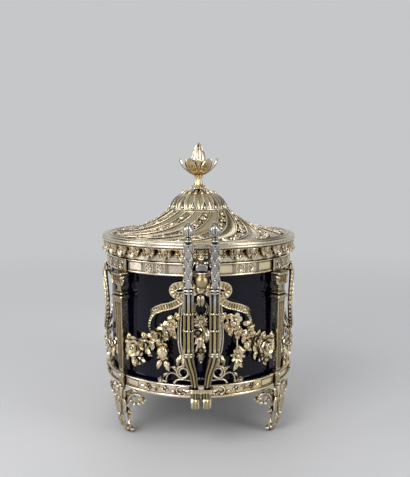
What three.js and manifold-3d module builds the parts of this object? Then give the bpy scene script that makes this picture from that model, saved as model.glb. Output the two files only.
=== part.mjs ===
// A round bonbonniere: an openwork silver-gilt mount on four feet, two upright handles,
// a cobalt glass liner and a lift-off lid with a bud finial.
// Millimetres, +Z up. The origin is on the ground under the middle of the box, and the
// two handles stand at -Y and +Y.
import * as THREE from "three";
import { mergeVertices } from "three/addons/utils/BufferGeometryUtils.js";
import Module from "manifold-3d";

const wasm = await Module();
wasm.setup();

// Driving sizes of the mount
const panelRadius = 57.6; // cylinder on which the openwork lies
const upperBandSetback = 0.4; // how far the upper band lies inside that cylinder
const lowerBandFlare = 0.9; // how far the lower band stands out from it
const bandWall = 1.8;
const fieldDepth = 0.5; // how far a band's plain field lies behind its edge beads
const beadHeight = 1.2;
const footHeight = 28.1;
const lowerBandHeight = 7.5;
const windowHeight = 60.2; // open height between the two bands
const upperBandHeight = 7.4;
const borderHeight = 7.4; // turned rim with the leaf tips, above the upper band
const borderReach = 3.1; // how far the leaf tips stand out from the upper band
const leafCount = 36;
const leafOverhang = 2.7; // how much higher the valleys between two leaf tips lie
const leafTipRise = 2.3; // leaf tips above the top of the upper band
const seatThickness = 1.2;
const seatReach = 7.5; // how far the liner's flange reaches in from the lower band

// Driving sizes of the glass liner
const linerPlay = 1.0; // between the glass and the upper band
const linerWall = 3.0;
const linerFloor = 4.0;
const linerRound = 2.0; // rounding of the foot of the glass

// Driving sizes of the lid
const rimSetback = 0.3; // how far the rim's edge lies inside the leaf tips
const rimPlate = 1.7;
const rimMoulding = 3.3;
const ridgeSetback = 4.6; // from the rim's edge to the ridge
const ridgeHeight = 3.9;
const shellSetback = 6.8; // from the rim's edge to the fluted shell
const shellEdge = 3.4; // top of the shell's outer edge above the underside of the rim
const shellRise = 14.2;
const shellThickness = 1.5;
const shellPower = 2.3; // how sharply the shell's flank curves up to the cap
const fluteCount = 24;
const fluteDepth = 0.55;
const chasedShare = 0.6; // the chased flutes between the plain ones are that much shallower
const fluteTwist = THREE.MathUtils.degToRad(-62);
const capRadius = 18.3;
const capHeight = 11.9;
const capPoint = 1.3; // 1 is a round dome, and more is a more pointed one
const capThickness = 1.4;
const ribCount = 16;
const ribDepth = 0.45;
const bezelPlay = 0.6;
const bezelWall = 1.2;
const bezelDepth = 6.0;

// Driving sizes of the finial
const shankRadius = 1.6;
const flareRadius = 5.7;
const neckRadius = 2.6;
const stemHeight = 8.6; // from the cap to the top of the stem
const calyxPetals = 8;
const calyxReach = 12.0;
const calyxHeight = 9.4;
const budRadius = 4.7;
const budHeight = 16.4;
const budCollar = 3.0; // height of the solid cup that the bud stands in
const nutRadius = 3.6;
const nutHeight = 2.2;

// Driving sizes of the pilasters and feet
const pilasterAngle = THREE.MathUtils.degToRad(50); // from the handles' axis
const shaftTop = 3.6; // half widths
const shaftBottom = 1.75;
const collarHalf = 4.3;
const capitalHalf = 4.6;
const neckHalf = 2.2;
const blockHalf = 3.7;
const shaftDepth = 3.9; // how far the head of the shaft stands out from the panel
const collarDepth = 5.0;
const neckDepth = 3.2;
const frontMoulding = 0.8; // relief of the plain blocks over the bands
const capitalHeight = 5.6;
const neckHeight = 3.8;
const collarHeight = 5.6;
const toeRadius = 2.0;
const toeWidth = 4.4;
const toeSetback = 2.8; // how far the toe lies inside the panel
const wingReach = 17.0;

// Driving sizes of the handles
const handleStandoff = 14.7; // from the leaf tips to the rods' middle
const rodSpacing = 6.7; // from the handle's middle line to each rod
const rodHalf = 3.1;
const rodRise = 7.2; // how far the rods stand above the mount
const leafedLength = 24.7;
const reededLength = 33.7;
const rodNeck = 1.5; // plain end of a rod under its bud
const footSpacing = 3.1; // the rods' spacing at their bottom scrolls
const barrelRadius = 4.5;
const barrelWidth = 4.3;
const strapHeight = 1.8;
const bridgeThickness = 3.6;
const bridgeRise = 2.1; // top of the cross piece above the upper band
const bridgeHalf = 8.6;
const ballRadius = 4.0;
const rodBudRadius = 3.15;
const rodBudHeight = 10.1;

// Driving sizes of the side wreaths
const wreathHalfWidth = 18.5;
const wreathBar = 1.8;
const wreathDrop = 4.6; // from the upper band to the top of the wreath's ring
const sideScrollHeight = 16.3; // room for the scrolls under the wreath

// Running and seating clearance between neighbouring pieces
const fitGap = 0.3;

// Faces round the widest turned pieces
const roundSteps = 32;

// Levels and radii that follow from them
const upperBandRadius = panelRadius - upperBandSetback;
const lowerBandRadius = panelRadius + lowerBandFlare;
const borderRadius = upperBandRadius + borderReach;
const rimRadius = borderRadius - rimSetback;
const ridgeRadius = rimRadius - ridgeSetback;
const shellRadius = rimRadius - shellSetback;
const handleReach = borderRadius + handleStandoff;
const lowerBandBottom = footHeight + fitGap;
const lowerBandTop = lowerBandBottom + lowerBandHeight;
const upperBandBottom = lowerBandTop + windowHeight;
const upperBandTop = upperBandBottom + upperBandHeight;
const borderBottom = upperBandTop + fitGap;
const mountTop = borderBottom + borderHeight;
const lowerBandInner = lowerBandRadius - bandWall;
const seatTop = lowerBandBottom + seatThickness;
const linerRadius = upperBandRadius - bandWall - linerPlay;
const linerInner = linerRadius - linerWall;
const linerBottom = seatTop + fitGap;
const lidBottom = mountTop + fitGap;
const bezelOuter = linerInner - bezelPlay;
const bezelInner = bezelOuter - bezelWall;
const shellTop = lidBottom + shellEdge + shellRise;
const capBottom = shellTop + fitGap;
const capTop = capBottom + capHeight;
const stemBottom = capTop + fitGap;
const stemTop = stemBottom + stemHeight;
const calyxBottom = stemTop + fitGap;
const budBottom = calyxBottom + budCollar + fitGap;
const rodTop = mountTop + rodRise;
const bridgeTop = upperBandTop + bridgeRise;
const strapLevel = lowerBandTop - fitGap;

// Finishes
const gilt = new THREE.MeshStandardMaterial({ color: 0xc2ad7c, roughness: 0.34, metalness: 1 });
const coolSilver = new THREE.MeshStandardMaterial({ color: 0x9a9a98, roughness: 0.3, metalness: 1 });
const cobaltGlass = new THREE.MeshStandardMaterial({ color: 0x0b0a2a, roughness: 0.06, metalness: 0 });

// Sections of bars, as corner points of half width by half depth
const hexagon = [0, 1, 2, 3, 4, 5].map((k) => [Math.cos((k * Math.PI) / 3), Math.sin((k * Math.PI) / 3)]);
const ribbonFlat = [[1, -1], [1, 1], [-1, 1], [-1, -1]];
const ridged = [[1, -0.6], [0, 1], [-1, -0.6]];
const rhombus = [[1, 0], [0, 1], [-1, 0], [0, -1]];

// Solids and booleans

function solidOf(geometry) {
  const bare = geometry.clone();
  bare.deleteAttribute("normal");
  bare.deleteAttribute("uv");
  const merged = mergeVertices(bare, 1e-4);
  return new wasm.Manifold(
    new wasm.Mesh({
      numProp: 3,
      vertProperties: new Float32Array(merged.attributes.position.array),
      triVerts: new Uint32Array(merged.index.array),
    }),
  );
}

function geometryOf(solid) {
  const mesh = solid.getMesh();
  const positions = new Float32Array(mesh.vertProperties);
  return new THREE.BufferGeometry()
    .setAttribute("position", new THREE.BufferAttribute(positions, 3))
    .setIndex(new THREE.BufferAttribute(new Uint32Array(mesh.triVerts), 1));
}

function fuse(geometries) {
  const solids = geometries.map(solidOf);
  return geometryOf(solids.reduce((whole, piece) => whole.add(piece)));
}

// A closed surface from numbered corners, turned to face out.
function closedSurface(corners, triangles) {
  let sixVolumes = 0;
  for (const [a, b, c] of triangles) {
    sixVolumes += corners[a].dot(new THREE.Vector3().crossVectors(corners[b], corners[c]));
  }
  const facing = sixVolumes < 0 ? triangles.map(([a, b, c]) => [a, c, b]) : triangles;
  const geometry = new THREE.BufferGeometry().setFromPoints(corners);
  geometry.setIndex(facing.flat());
  return geometry;
}

// A solid through a row of rings with equal counts of corners. A first or last ring of
// one corner is a point, and any other end is closed flat.
function loft(rings) {
  const corners = rings.flat();
  const triangles = [];
  let start = 0;
  rings.slice(0, -1).forEach((ring, row) => {
    const next = start + ring.length;
    const nextCount = rings[row + 1].length;
    const count = Math.max(ring.length, nextCount);
    for (let i = 0; i < count; i += 1) {
      const j = (i + 1) % count;
      if (ring.length > 1) triangles.push([start + i, start + j, nextCount > 1 ? next + j : next]);
      if (nextCount > 1) triangles.push([ring.length > 1 ? start + i : start, next + j, next + i]);
    }
    start = next;
  });
  const last = rings[rings.length - 1].length;
  for (let i = 1; i + 1 < rings[0].length; i += 1) triangles.push([0, i + 1, i]);
  for (let i = 1; i + 1 < last; i += 1) triangles.push([start, start + i, start + i + 1]);
  return closedSurface(corners, triangles);
}

// A solid whose rows and columns both close on themselves.
function ringSolid(rows, columns, cornerAt) {
  const corners = [];
  const triangles = [];
  for (let row = 0; row < rows; row += 1) {
    for (let column = 0; column < columns; column += 1) {
      corners.push(cornerAt(row, column));
      const nextRow = ((row + 1) % rows) * columns;
      const nextColumn = (column + 1) % columns;
      const a = row * columns + column;
      const b = row * columns + nextColumn;
      triangles.push([a, b, nextRow + nextColumn], [a, nextRow + nextColumn, nextRow + column]);
    }
  }
  return closedSurface(corners, triangles);
}

// A round or oval hole or outline as a closed row of corners.
function ovalPoints(middle, halfX, halfY, count) {
  return Array.from({ length: count }, (_, i) => {
    const angle = (i * 2 * Math.PI) / count;
    return new THREE.Vector2(halfX * Math.cos(angle), middle + halfY * Math.sin(angle));
  });
}

function turned(profile, segments) {
  const points = profile.map(([radius, height]) => new THREE.Vector2(radius, height));
  return new THREE.LatheGeometry(points, segments).rotateX(Math.PI / 2);
}

function onAxis(radius, angle, height) {
  return new THREE.Vector3(radius * Math.sin(angle), -radius * Math.cos(angle), height);
}

// Flat drawings: x runs round the box, y is the height, z stands out from the panel.

function flatCurve(points, steps) {
  const knots = points.map(([x, y, z = 0]) => new THREE.Vector3(x, y, z));
  return new THREE.CatmullRomCurve3(knots).getPoints(steps);
}

// A bar along a row of points: size(t) gives its half width and its half depth,
// and lateral is the direction that the half depth is measured in.
function bar(points, size, section = ridged, lateral = new THREE.Vector3(0, 0, 1)) {
  const last = points.length - 1;
  const rings = points.map((point, i) => {
    const before = points[Math.max(i - 1, 0)];
    const after = points[Math.min(i + 1, last)];
    const along = new THREE.Vector3().subVectors(after, before);
    const across = new THREE.Vector3().crossVectors(along, lateral).normalize();
    const [halfWidth, halfDepth] = size(i / last);
    return section.map(([u, v]) =>
      point.clone().addScaledVector(across, u * halfWidth).addScaledVector(lateral, v * halfDepth),
    );
  });
  return loft(rings);
}

// Wraps a flat drawing round the box, at an angle from the middle of the -Y side.
function wrap(geometry, radius = panelRadius) {
  const positions = geometry.attributes.position;
  const corner = new THREE.Vector3();
  for (let i = 0; i < positions.count; i += 1) {
    corner.fromBufferAttribute(positions, i);
    const bent = onAxis(radius + corner.z, corner.x / radius, corner.y);
    positions.setXYZ(i, bent.x, bent.y, bent.z);
  }
  return geometry;
}

function panelPiece(drawings, radius = panelRadius) {
  return fuse(drawings.map((drawing) => wrap(drawing, radius)));
}

// A low cone that faces out of the panel, with its foot in the metal behind: a flower,
// a bead or a boss.
function boss(x, y, radius, height, petals = 0, level = 0.2) {
  const corners = petals > 0 ? petals * 2 : 6;
  const edge = Array.from({ length: corners }, (_, i) => {
    const angle = (i * 2 * Math.PI) / corners;
    const reach = radius * (petals > 0 && i % 2 ? 0.7 : 1);
    return new THREE.Vector3(x + reach * Math.cos(angle), y + reach * Math.sin(angle), level);
  });
  return loft([[new THREE.Vector3(x, y, level - 1.1)], edge, [new THREE.Vector3(x, y, height)]]);
}

// A pointed leaf with a raised midrib, from one point to another.
function leaf(from, to, halfWidth, halfDepth = 0.8) {
  const along = new THREE.Vector2(to[0] - from[0], to[1] - from[1]);
  const across = new THREE.Vector2(-along.y, along.x).setLength(halfWidth);
  const x = from[0] + along.x * 0.45;
  const y = from[1] + along.y * 0.45;
  return loft([
    [new THREE.Vector3(from[0], from[1], 0)],
    [
      new THREE.Vector3(x + across.x, y + across.y, 0),
      new THREE.Vector3(x, y, -halfDepth),
      new THREE.Vector3(x - across.x, y - across.y, 0),
      new THREE.Vector3(x, y, halfDepth),
    ],
    [new THREE.Vector3(to[0], to[1], 0)],
  ]);
}

// A closed flower bud from one point to another.
function flowerBud(from, to, radius) {
  const along = new THREE.Vector2(to[0] - from[0], to[1] - from[1]);
  const across = new THREE.Vector2(-along.y, along.x).normalize();
  const ring = (share, reach) =>
    hexagon.map(
      ([u, v]) =>
        new THREE.Vector3(
          from[0] + along.x * share + across.x * u * reach,
          from[1] + along.y * share + across.y * u * reach,
          v * reach * 0.7 + 0.4,
        ),
    );
  return loft([
    [new THREE.Vector3(from[0], from[1], 0)],
    ring(0.3, radius),
    ring(0.65, radius * 0.8),
    [new THREE.Vector3(to[0], to[1], 0)],
  ]);
}

// Bands and rims

function beadedBand(outer, bottom, height) {
  const inner = outer - bandWall;
  const field = outer - fieldDepth;
  const top = bottom + height;
  return turned(
    [
      [inner, bottom],
      [outer, bottom],
      [outer, bottom + beadHeight],
      [field, bottom + beadHeight + fieldDepth],
      [field, top - beadHeight - fieldDepth],
      [outer, top - beadHeight],
      [outer, top],
      [inner, top],
      [inner, bottom],
    ],
    roundSteps,
  );
}

function leafBorder() {
  const inner = upperBandRadius - bandWall;
  const tip = upperBandTop + leafTipRise;
  const cornerAt = (row, column) => {
    const isTip = column % 2 === 0;
    const lower = isTip ? tip : tip + leafOverhang;
    const belly = isTip ? borderRadius : borderRadius - 1.4;
    const profile = [
      [inner, borderBottom],
      [upperBandRadius, borderBottom],
      [belly, lower],
      [belly - 0.4, mountTop],
      [inner, mountTop],
    ];
    const [radius, height] = profile[row];
    return onAxis(radius, (column * Math.PI) / leafCount, height);
  };
  return ringSolid(5, leafCount * 2, cornerAt);
}

function linerSeat() {
  const outer = lowerBandInner - fitGap;
  const inner = outer - seatReach;
  return turned(
    [
      [inner, lowerBandBottom],
      [outer, lowerBandBottom],
      [outer, seatTop],
      [inner, seatTop],
      [inner, lowerBandBottom],
    ],
    roundSteps,
  );
}

function liner() {
  const innerBottom = linerBottom + linerFloor;
  const lip = linerWall / 5;
  return turned(
    [
      [0, linerBottom],
      [linerRadius - linerRound, linerBottom],
      [linerRadius, linerBottom + linerRound],
      [linerRadius, mountTop - lip],
      [linerRadius - lip, mountTop],
      [linerInner, mountTop],
      [linerInner, innerBottom + linerRound],
      [linerInner - linerRound, innerBottom],
      [0, innerBottom],
    ],
    roundSteps,
  );
}

// Lid

function lidRim() {
  const ledgeInner = bezelInner - bezelWall;
  const rebate = shellRadius + fitGap;
  const edge = rimMoulding / 2;
  return turned(
    [
      [ledgeInner, lidBottom],
      [rimRadius - 1.2, lidBottom],
      [rimRadius, lidBottom + edge],
      [rimRadius - 1.4, lidBottom + rimMoulding],
      [rimRadius - 3.1, lidBottom + rimMoulding - 0.4],
      [ridgeRadius, lidBottom + ridgeHeight],
      [rebate, lidBottom + ridgeHeight - 0.6],
      [rebate, lidBottom + rimPlate],
      [ledgeInner, lidBottom + rimPlate],
      [ledgeInner, lidBottom],
    ],
    roundSteps,
  );
}

function lidBezel() {
  const top = lidBottom - fitGap;
  return turned(
    [
      [bezelInner, top - bezelDepth],
      [bezelOuter, top - bezelDepth],
      [bezelOuter, top],
      [bezelInner, top],
      [bezelInner, top - bezelDepth],
    ],
    roundSteps,
  );
}

// Height of the lid's flank above the rim's underside, from the cap (t = 0) to the rim (t = 1).
function flankHeight(t) {
  return shellEdge + shellRise * (1 - t) ** shellPower;
}

function lidShell() {
  const topRows = 6;
  const underRows = 5;
  const cornerAt = (row, column) => {
    const onTop = row < topRows;
    const t = onTop ? row / (topRows - 1) : 1 - (row - topRows) / (underRows - 1);
    const radius = capRadius + (shellRadius - capRadius) * t;
    const isCrest = column % 2 === 0;
    const isPlain = Math.floor(column / 2) % 2 === 0;
    const fade = Math.sqrt(Math.sin(Math.PI * t)) * (isPlain ? 1 : chasedShare);
    const ripple = fluteDepth * fade * (isCrest ? 1 : -1);
    const angle = (column * Math.PI) / fluteCount + fluteTwist * t;
    return onAxis(radius, angle, lidBottom + flankHeight(t) + (onTop ? ripple : -shellThickness));
  };
  return ringSolid(topRows + underRows, fluteCount * 2, cornerAt);
}

function lidCap() {
  const arc = (t) => {
    const turn = (t * Math.PI) / 2;
    return [capRadius * Math.cos(turn), capBottom + capHeight * Math.sin(turn) ** capPoint];
  };
  const inner = (t) => {
    const [radius, height] = arc(t);
    return [radius - capThickness, t > 0 ? height - capThickness : height];
  };
  const bore = shankRadius + fitGap;
  const underside = capTop - capThickness;
  const outline = [
    ...[0, 0.25, 0.5, 0.75].map(arc),
    [bore, capTop],
    [bore, underside],
    [nutRadius + fitGap, underside],
    ...[0.6, 0.25, 0].map(inner),
  ];
  const ribbed = [0, 0.7, 1, 0.7]; // share of the rib depth on the outer corners
  const cornerAt = (row, column) => {
    const [radius, height] = outline[row];
    const ripple = ribDepth * (ribbed[row] ?? 0) * (column % 2 === 0 ? 1 : -0.8);
    return onAxis(radius + ripple, (column * Math.PI) / ribCount, height);
  };
  return ringSolid(outline.length, ribCount * 2, cornerAt);
}

function finialStem() {
  const shankBottom = capTop - capThickness - fitGap - nutHeight - 0.4;
  return turned(
    [
      [0, shankBottom],
      [shankRadius, shankBottom],
      [shankRadius, stemBottom],
      [flareRadius, stemBottom],
      [flareRadius - 0.6, stemBottom + 1],
      [neckRadius + 0.4, stemBottom + 2.4],
      [neckRadius, stemBottom + 5.6],
      [neckRadius + 0.9, stemTop - 0.6],
      [neckRadius + 0.4, stemTop],
      [0, stemTop],
    ],
    10,
  );
}

function finialCalyx() {
  const cupRadius = neckRadius + 0.9;
  const cup = turned(
    [
      [0, calyxBottom],
      [neckRadius - 0.2, calyxBottom],
      [cupRadius + 0.6, calyxBottom + budCollar * 0.6],
      [cupRadius, calyxBottom + budCollar],
      [0, calyxBottom + budCollar],
    ],
    calyxPetals,
  );
  const petal = (angle) => {
    const upright = new THREE.Vector3(0, 0, 1);
    const rows = [
      [cupRadius - 1.2, 0.6, 1.2],
      [cupRadius + 2.6, 3.0, 2.4],
      [cupRadius + 5.2, 6.0, 2.5],
    ];
    const rings = rows.map(([radius, rise, halfWidth]) => {
      const section = [[-1, 0.9], [0, -0.1], [1, 0.9], [0, 1.0]];
      return section.map(([u, v]) => {
        const corner = new THREE.Vector3(u * halfWidth, v * 0.9 - radius, calyxBottom + rise + v * 0.5);
        return corner.applyAxisAngle(upright, angle);
      });
    });
    const tip = new THREE.Vector3(0, -calyxReach, calyxBottom + calyxHeight).applyAxisAngle(upright, angle);
    return loft([...rings, [tip]]);
  };
  const petals = Array.from({ length: calyxPetals }, (_, i) => petal((i * 2 * Math.PI) / calyxPetals));
  return fuse([cup, ...petals]);
}

function finialBud() {
  const outline = [
    [0, 0],
    [0.55, 0],
    [0.86, 0.14],
    [1, 0.34],
    [0.86, 0.58],
    [0.48, 0.84],
    [0, 1],
  ];
  const profile = outline.map(([r, z]) => [r * budRadius, budBottom + z * budHeight]);
  return turned(profile, 10);
}

function finialNut() {
  const top = capTop - capThickness - fitGap;
  const shape = new THREE.Shape(
    hexagon.map(([x, y]) => new THREE.Vector2(x * nutRadius, y * nutRadius)),
  );
  const bore = shankRadius + fitGap;
  shape.holes.push(new THREE.Path(ovalPoints(0, bore, bore, 8)));
  const nut = new THREE.ExtrudeGeometry(shape, { depth: nutHeight, bevelEnabled: false, });
  return nut.translate(0, 0, top - nutHeight);
}

// Pilasters and feet

function pilaster() {
  const overLower = lowerBandRadius + fitGap - panelRadius;
  const overUpper = upperBandRadius + fitGap - panelRadius;
  const footing = lowerBandTop + fitGap;
  const head = upperBandBottom - fitGap;
  const capital = head - capitalHeight;
  const collarTop = capital - neckHeight;
  const collarBottom = collarTop - collarHeight;
  const back = -0.8;
  const level = (height, half, front, groove = 0, rear = back) => {
    const slot = half * 0.42;
    const chamfer = 0.4;
    const outline = [
      [-half, rear],
      [half, rear],
      [half, front - chamfer],
      [slot, front],
      [slot * 0.6, front - groove],
      [-slot * 0.6, front - groove],
      [-slot, front],
      [-half, front - chamfer],
    ];
    return outline.map(([x, z]) => new THREE.Vector3(x, height, z));
  };
  const body = loft([
    level(lowerBandBottom, shaftBottom, overLower + frontMoulding + 0.3, 0, overLower),
    level(footing, shaftBottom + 0.4, overLower + frontMoulding + 0.6, 0, overLower),
    level(footing, shaftBottom, overLower + frontMoulding, 0.4),
    level(collarBottom, shaftTop, shaftDepth, 0.7),
    level(collarBottom + 0.7, collarHalf, collarDepth),
    level(collarTop - 0.9, collarHalf, collarDepth),
    level(collarTop, neckHalf, neckDepth),
    level(capital, neckHalf + 0.5, neckDepth),
    level(capital + 0.3, capitalHalf - 0.8, collarDepth - 0.6, 0.5),
    level(head - 1, capitalHalf - 0.6, collarDepth - 0.5, 0.5),
    level(head, capitalHalf, collarDepth),
    level(head, blockHalf, overUpper + frontMoulding, 0, overUpper),
    level(upperBandTop, blockHalf, overUpper + frontMoulding, 0, overUpper),
  ]);
  const face = overUpper + frontMoulding;
  return panelPiece([body, boss(0, upperBandBottom + upperBandHeight / 2, 2.6, face + 1, 0, face - 0.2)]);
}

function foot() {
  const sideways = new THREE.Vector3(1, 0, 0);
  const legLine = flatCurve(
    [
      [0, footHeight, 1.1],
      [0, footHeight * 0.66, 2.3],
      [0, footHeight * 0.38, 2.1],
      [0, footHeight * 0.18, 0.4],
      [0, toeRadius, -toeSetback],
    ],
    4,
  );
  const leg = bar(legLine, (t) => [1.6 - 0.2 * t, 1.7 - 0.3 * t], rhombus, sideways);
  const toe = new THREE.CylinderGeometry(
    toeRadius / Math.cos(Math.PI / 8),
    toeRadius / Math.cos(Math.PI / 8),
    toeWidth,
    8,
    1,
    false,
    Math.PI / 8,
  );
  toe.rotateZ(Math.PI / 2).translate(0, toeRadius, -toeSetback);
  const parts = [leg, toe, boss(0, footHeight * 0.64, 2.7, 4.8, 0, 2)];
  for (const side of [-1, 1]) {
    const x = (share) => side * wingReach * share;
    const crest = footHeight - 1.2;
    const stem = [
      [x(0.02), footHeight * 0.52, 1.8],
      [x(0.2), footHeight * 0.71, 0.6],
      [x(0.45), crest - 2],
      [x(0.75), crest - 0.4],
      [x(1), crest - 1],
    ];
    parts.push(bar(flatCurve(stem, 4), (t) => [1.1 - 0.3 * t, 0.9]));
    parts.push(boss(x(0.98), crest - 1.7, 1.7, 1.6));
    parts.push(leaf([x(0.5), crest - 1.9], [x(0.55), crest - 7.8], 1.5));
    parts.push(leaf([x(0.74), crest - 0.6], [x(0.83), crest - 5.8], 1.4));
  }
  return panelPiece(parts);
}

// Handles. In these drawings x is across, y is the height and z the distance from the axis.

function rodLine(side) {
  const seat = lowerBandRadius + fitGap + barrelRadius;
  const bend = rodTop - rodNeck - leafedLength - reededLength;
  return {
    seat,
    low: [
      new THREE.Vector3(side * footSpacing, barrelRadius + lowerBandBottom - 4, seat + 2.0),
      new THREE.Vector3(side * footSpacing, strapLevel + strapHeight / 2, seat + 2.9),
      new THREE.Vector3(side * (footSpacing + 1.1), strapLevel + 10, seat + 5),
      new THREE.Vector3(side * (rodSpacing - 0.8), bend - 5.5, handleReach - 3.2),
      new THREE.Vector3(side * rodSpacing, bend, handleReach - 0.4),
      new THREE.Vector3(side * rodSpacing, bend + 3, handleReach),
    ],
  };
}

function handleRod(side) {
  const { seat, low } = rodLine(side);
  const lowHalf = [1.7, 1.9, 2.3, 2.8, rodHalf, rodHalf];
  const section = (point, tilt, half, even, odd) =>
    Array.from({ length: 8 }, (_, i) => {
      const angle = (i * Math.PI) / 4;
      const reach = half * (i % 2 ? odd : even);
      const across = reach * Math.cos(angle);
      const out = reach * Math.sin(angle) * 0.86;
      const rise = point.y - out * Math.sin(tilt);
      return new THREE.Vector3(point.x + across, rise, point.z + out * Math.cos(tilt));
    });
  const tilts = [0.1, 0.15, 0.36, 0.4, 0.2, 0];
  const rings = low.map((point, i) => section(point, tilts[i], lowHalf[i], 1, 0.88));
  const straight = (height, half, even, odd) =>
    rings.push(section(new THREE.Vector3(side * rodSpacing, height, handleReach), 0, half, even, odd));
  const leafStart = rodTop - rodNeck - leafedLength;
  straight(leafStart, rodHalf, 1, 0.88);
  const whorls = 3;
  const pitch = leafedLength / whorls;
  for (let i = 0; i < whorls; i += 1) {
    const base = leafStart + i * pitch;
    const isEven = i % 2 === 0;
    straight(base + 0.4, rodHalf * 0.84, 1, 1);
    straight(base + pitch * 0.72, rodHalf * 1.02, isEven ? 1.04 : 0.8, isEven ? 0.8 : 1.04);
  }
  straight(rodTop - rodNeck, rodHalf * 0.84, 1, 1);
  straight(rodTop, rodHalf * 0.6, 1, 1);
  const barrel = new THREE.CylinderGeometry(barrelRadius, barrelRadius, barrelWidth, 10, 1);
  barrel.rotateZ(Math.PI / 2).translate(side * footSpacing, lowerBandBottom + 0.5, seat);
  return fuse([loft(rings), barrel]);
}

function handleBud(side) {
  const outline = [
    [0, 0],
    [0.5, 0],
    [0.8, 0.2],
    [1, 0.42],
    [0.85, 0.62],
    [0.35, 0.78],
    [0, 1],
  ];
  const bottom = rodTop + fitGap;
  const profile = outline.map(([r, z]) => [r * rodBudRadius, bottom + z * rodBudHeight]);
  return turned(profile, 8).translate(side * rodSpacing, -handleReach, 0);
}

// The cross piece: two arms from the band to the rods and a tongue between them.
function handleBridge() {
  const back = borderRadius + fitGap;
  const front = handleReach - rodHalf * 0.9 - fitGap;
  const tongue = rodSpacing - rodHalf * 1.08 - fitGap;
  const shape = new THREE.Shape();
  shape.moveTo(-bridgeHalf, back);
  shape.quadraticCurveTo(-bridgeHalf + 2.2, (back + front) / 2, -bridgeHalf, front);
  shape.lineTo(-tongue, front);
  shape.lineTo(-tongue, handleReach + 1.2);
  shape.lineTo(tongue, handleReach + 1.2);
  shape.lineTo(tongue, front);
  shape.lineTo(bridgeHalf, front);
  shape.quadraticCurveTo(bridgeHalf - 2.2, (back + front) / 2, bridgeHalf, back);
  shape.closePath();
  const opening = ovalPoints((back + front) / 2, bridgeHalf * 0.42, (front - back) * 0.3, 10);
  shape.holes.push(new THREE.Path(opening));
  const plate = new THREE.ExtrudeGeometry(shape, {
    depth: bridgeThickness,
    bevelEnabled: false,
    curveSegments: 4,
  });
  // The outline's y is the distance from the axis, so it is turned to point to -Y.
  plate.rotateX(Math.PI).translate(0, 0, bridgeTop);
  // The root reaches under the leaf tips to the upper band.
  const rootReach = back - upperBandRadius - fitGap + 1;
  const rootHeight = upperBandTop - (bridgeTop - bridgeThickness);
  const root = new THREE.BoxGeometry(bridgeHalf * 1.8, rootReach, rootHeight);
  root.translate(0, rootReach / 2 - back - 1, upperBandTop - rootHeight / 2);
  return fuse([plate, root]);
}

function handleBall() {
  const top = bridgeTop - bridgeThickness - fitGap;
  const profile = [[0, top - 2 * ballRadius - 0.6]];
  const rows = 5;
  for (let i = 1; i <= rows; i += 1) {
    const turn = (i / (rows + 1)) * Math.PI;
    profile.push([ballRadius * Math.sin(turn), top - 0.6 - ballRadius - ballRadius * Math.cos(turn)]);
  }
  profile.push([1.5, top - 0.4], [1.5, top], [0, top]);
  return turned(profile, 8).translate(0, -handleReach + 1.2, 0);
}

function roundedBox(halfX, lowY, highY, corner) {
  const shape = new THREE.Shape();
  shape.absarc(halfX - corner, highY - corner, corner, 0, Math.PI / 2, false);
  shape.absarc(-halfX + corner, highY - corner, corner, Math.PI / 2, Math.PI, false);
  shape.absarc(-halfX + corner, lowY + corner, corner, Math.PI, 1.5 * Math.PI, false);
  shape.absarc(halfX - corner, lowY + corner, corner, 1.5 * Math.PI, 2 * Math.PI, false);
  return shape;
}

function handleStrap() {
  const middle = rodLine(1).low[1];
  const halfX = middle.x + 2 + fitGap + 0.15;
  const reach = 2 * 0.86 + fitGap + 0.5;
  const wall = 0.8;
  const shape = roundedBox(halfX + wall, middle.z - reach - wall, middle.z + reach + wall, 1.8);
  shape.holes.push(roundedBox(halfX, middle.z - reach, middle.z + reach, 1.2));
  const band = new THREE.ExtrudeGeometry(shape, {
    depth: strapHeight,
    bevelEnabled: false,
    curveSegments: 1,
  });
  return band.rotateX(Math.PI).translate(0, 0, strapLevel + strapHeight);
}

// Openwork behind each handle

function ribbonBow() {
  const knot = upperBandBottom - 6.1;
  const parts = [boss(0, knot, 2.8, 2, 0)];
  const hanger = flatCurve([[0, knot + 1.1], [0, upperBandBottom - fitGap]], 1);
  parts.push(bar(hanger, () => [1.4, 0.7]));
  for (const side of [-1, 1]) {
    const at = (points) => points.map(([x, y, z = 0]) => [side * x, knot + y, z]);
    const loop = [
      [1.9, 1.3, 0.45],
      [5, 2.6, 0.5],
      [10.5, 3.2, 0.8],
      [14.2, 0.6, 0.8],
      [12.2, -3.4, 0.4],
      [6, -2.6],
      [1.6, -1.4, -0.15],
    ];
    parts.push(bar(flatCurve(at(loop), 6), () => [1.9, 0.6], ribbonFlat));
    const tail = [
      [10.8, -2.8, 0],
      [14.5, -7.2, 0.6],
      [19, -10.2, 0.2],
      [22.4, -11.6, 0.6],
      [25, -15.2, 0.1],
    ];
    parts.push(bar(flatCurve(at(tail), 4), (t) => [1.9 - 0.9 * t ** 3, 0.6], ribbonFlat));
  }
  return panelPiece(parts);
}

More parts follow.
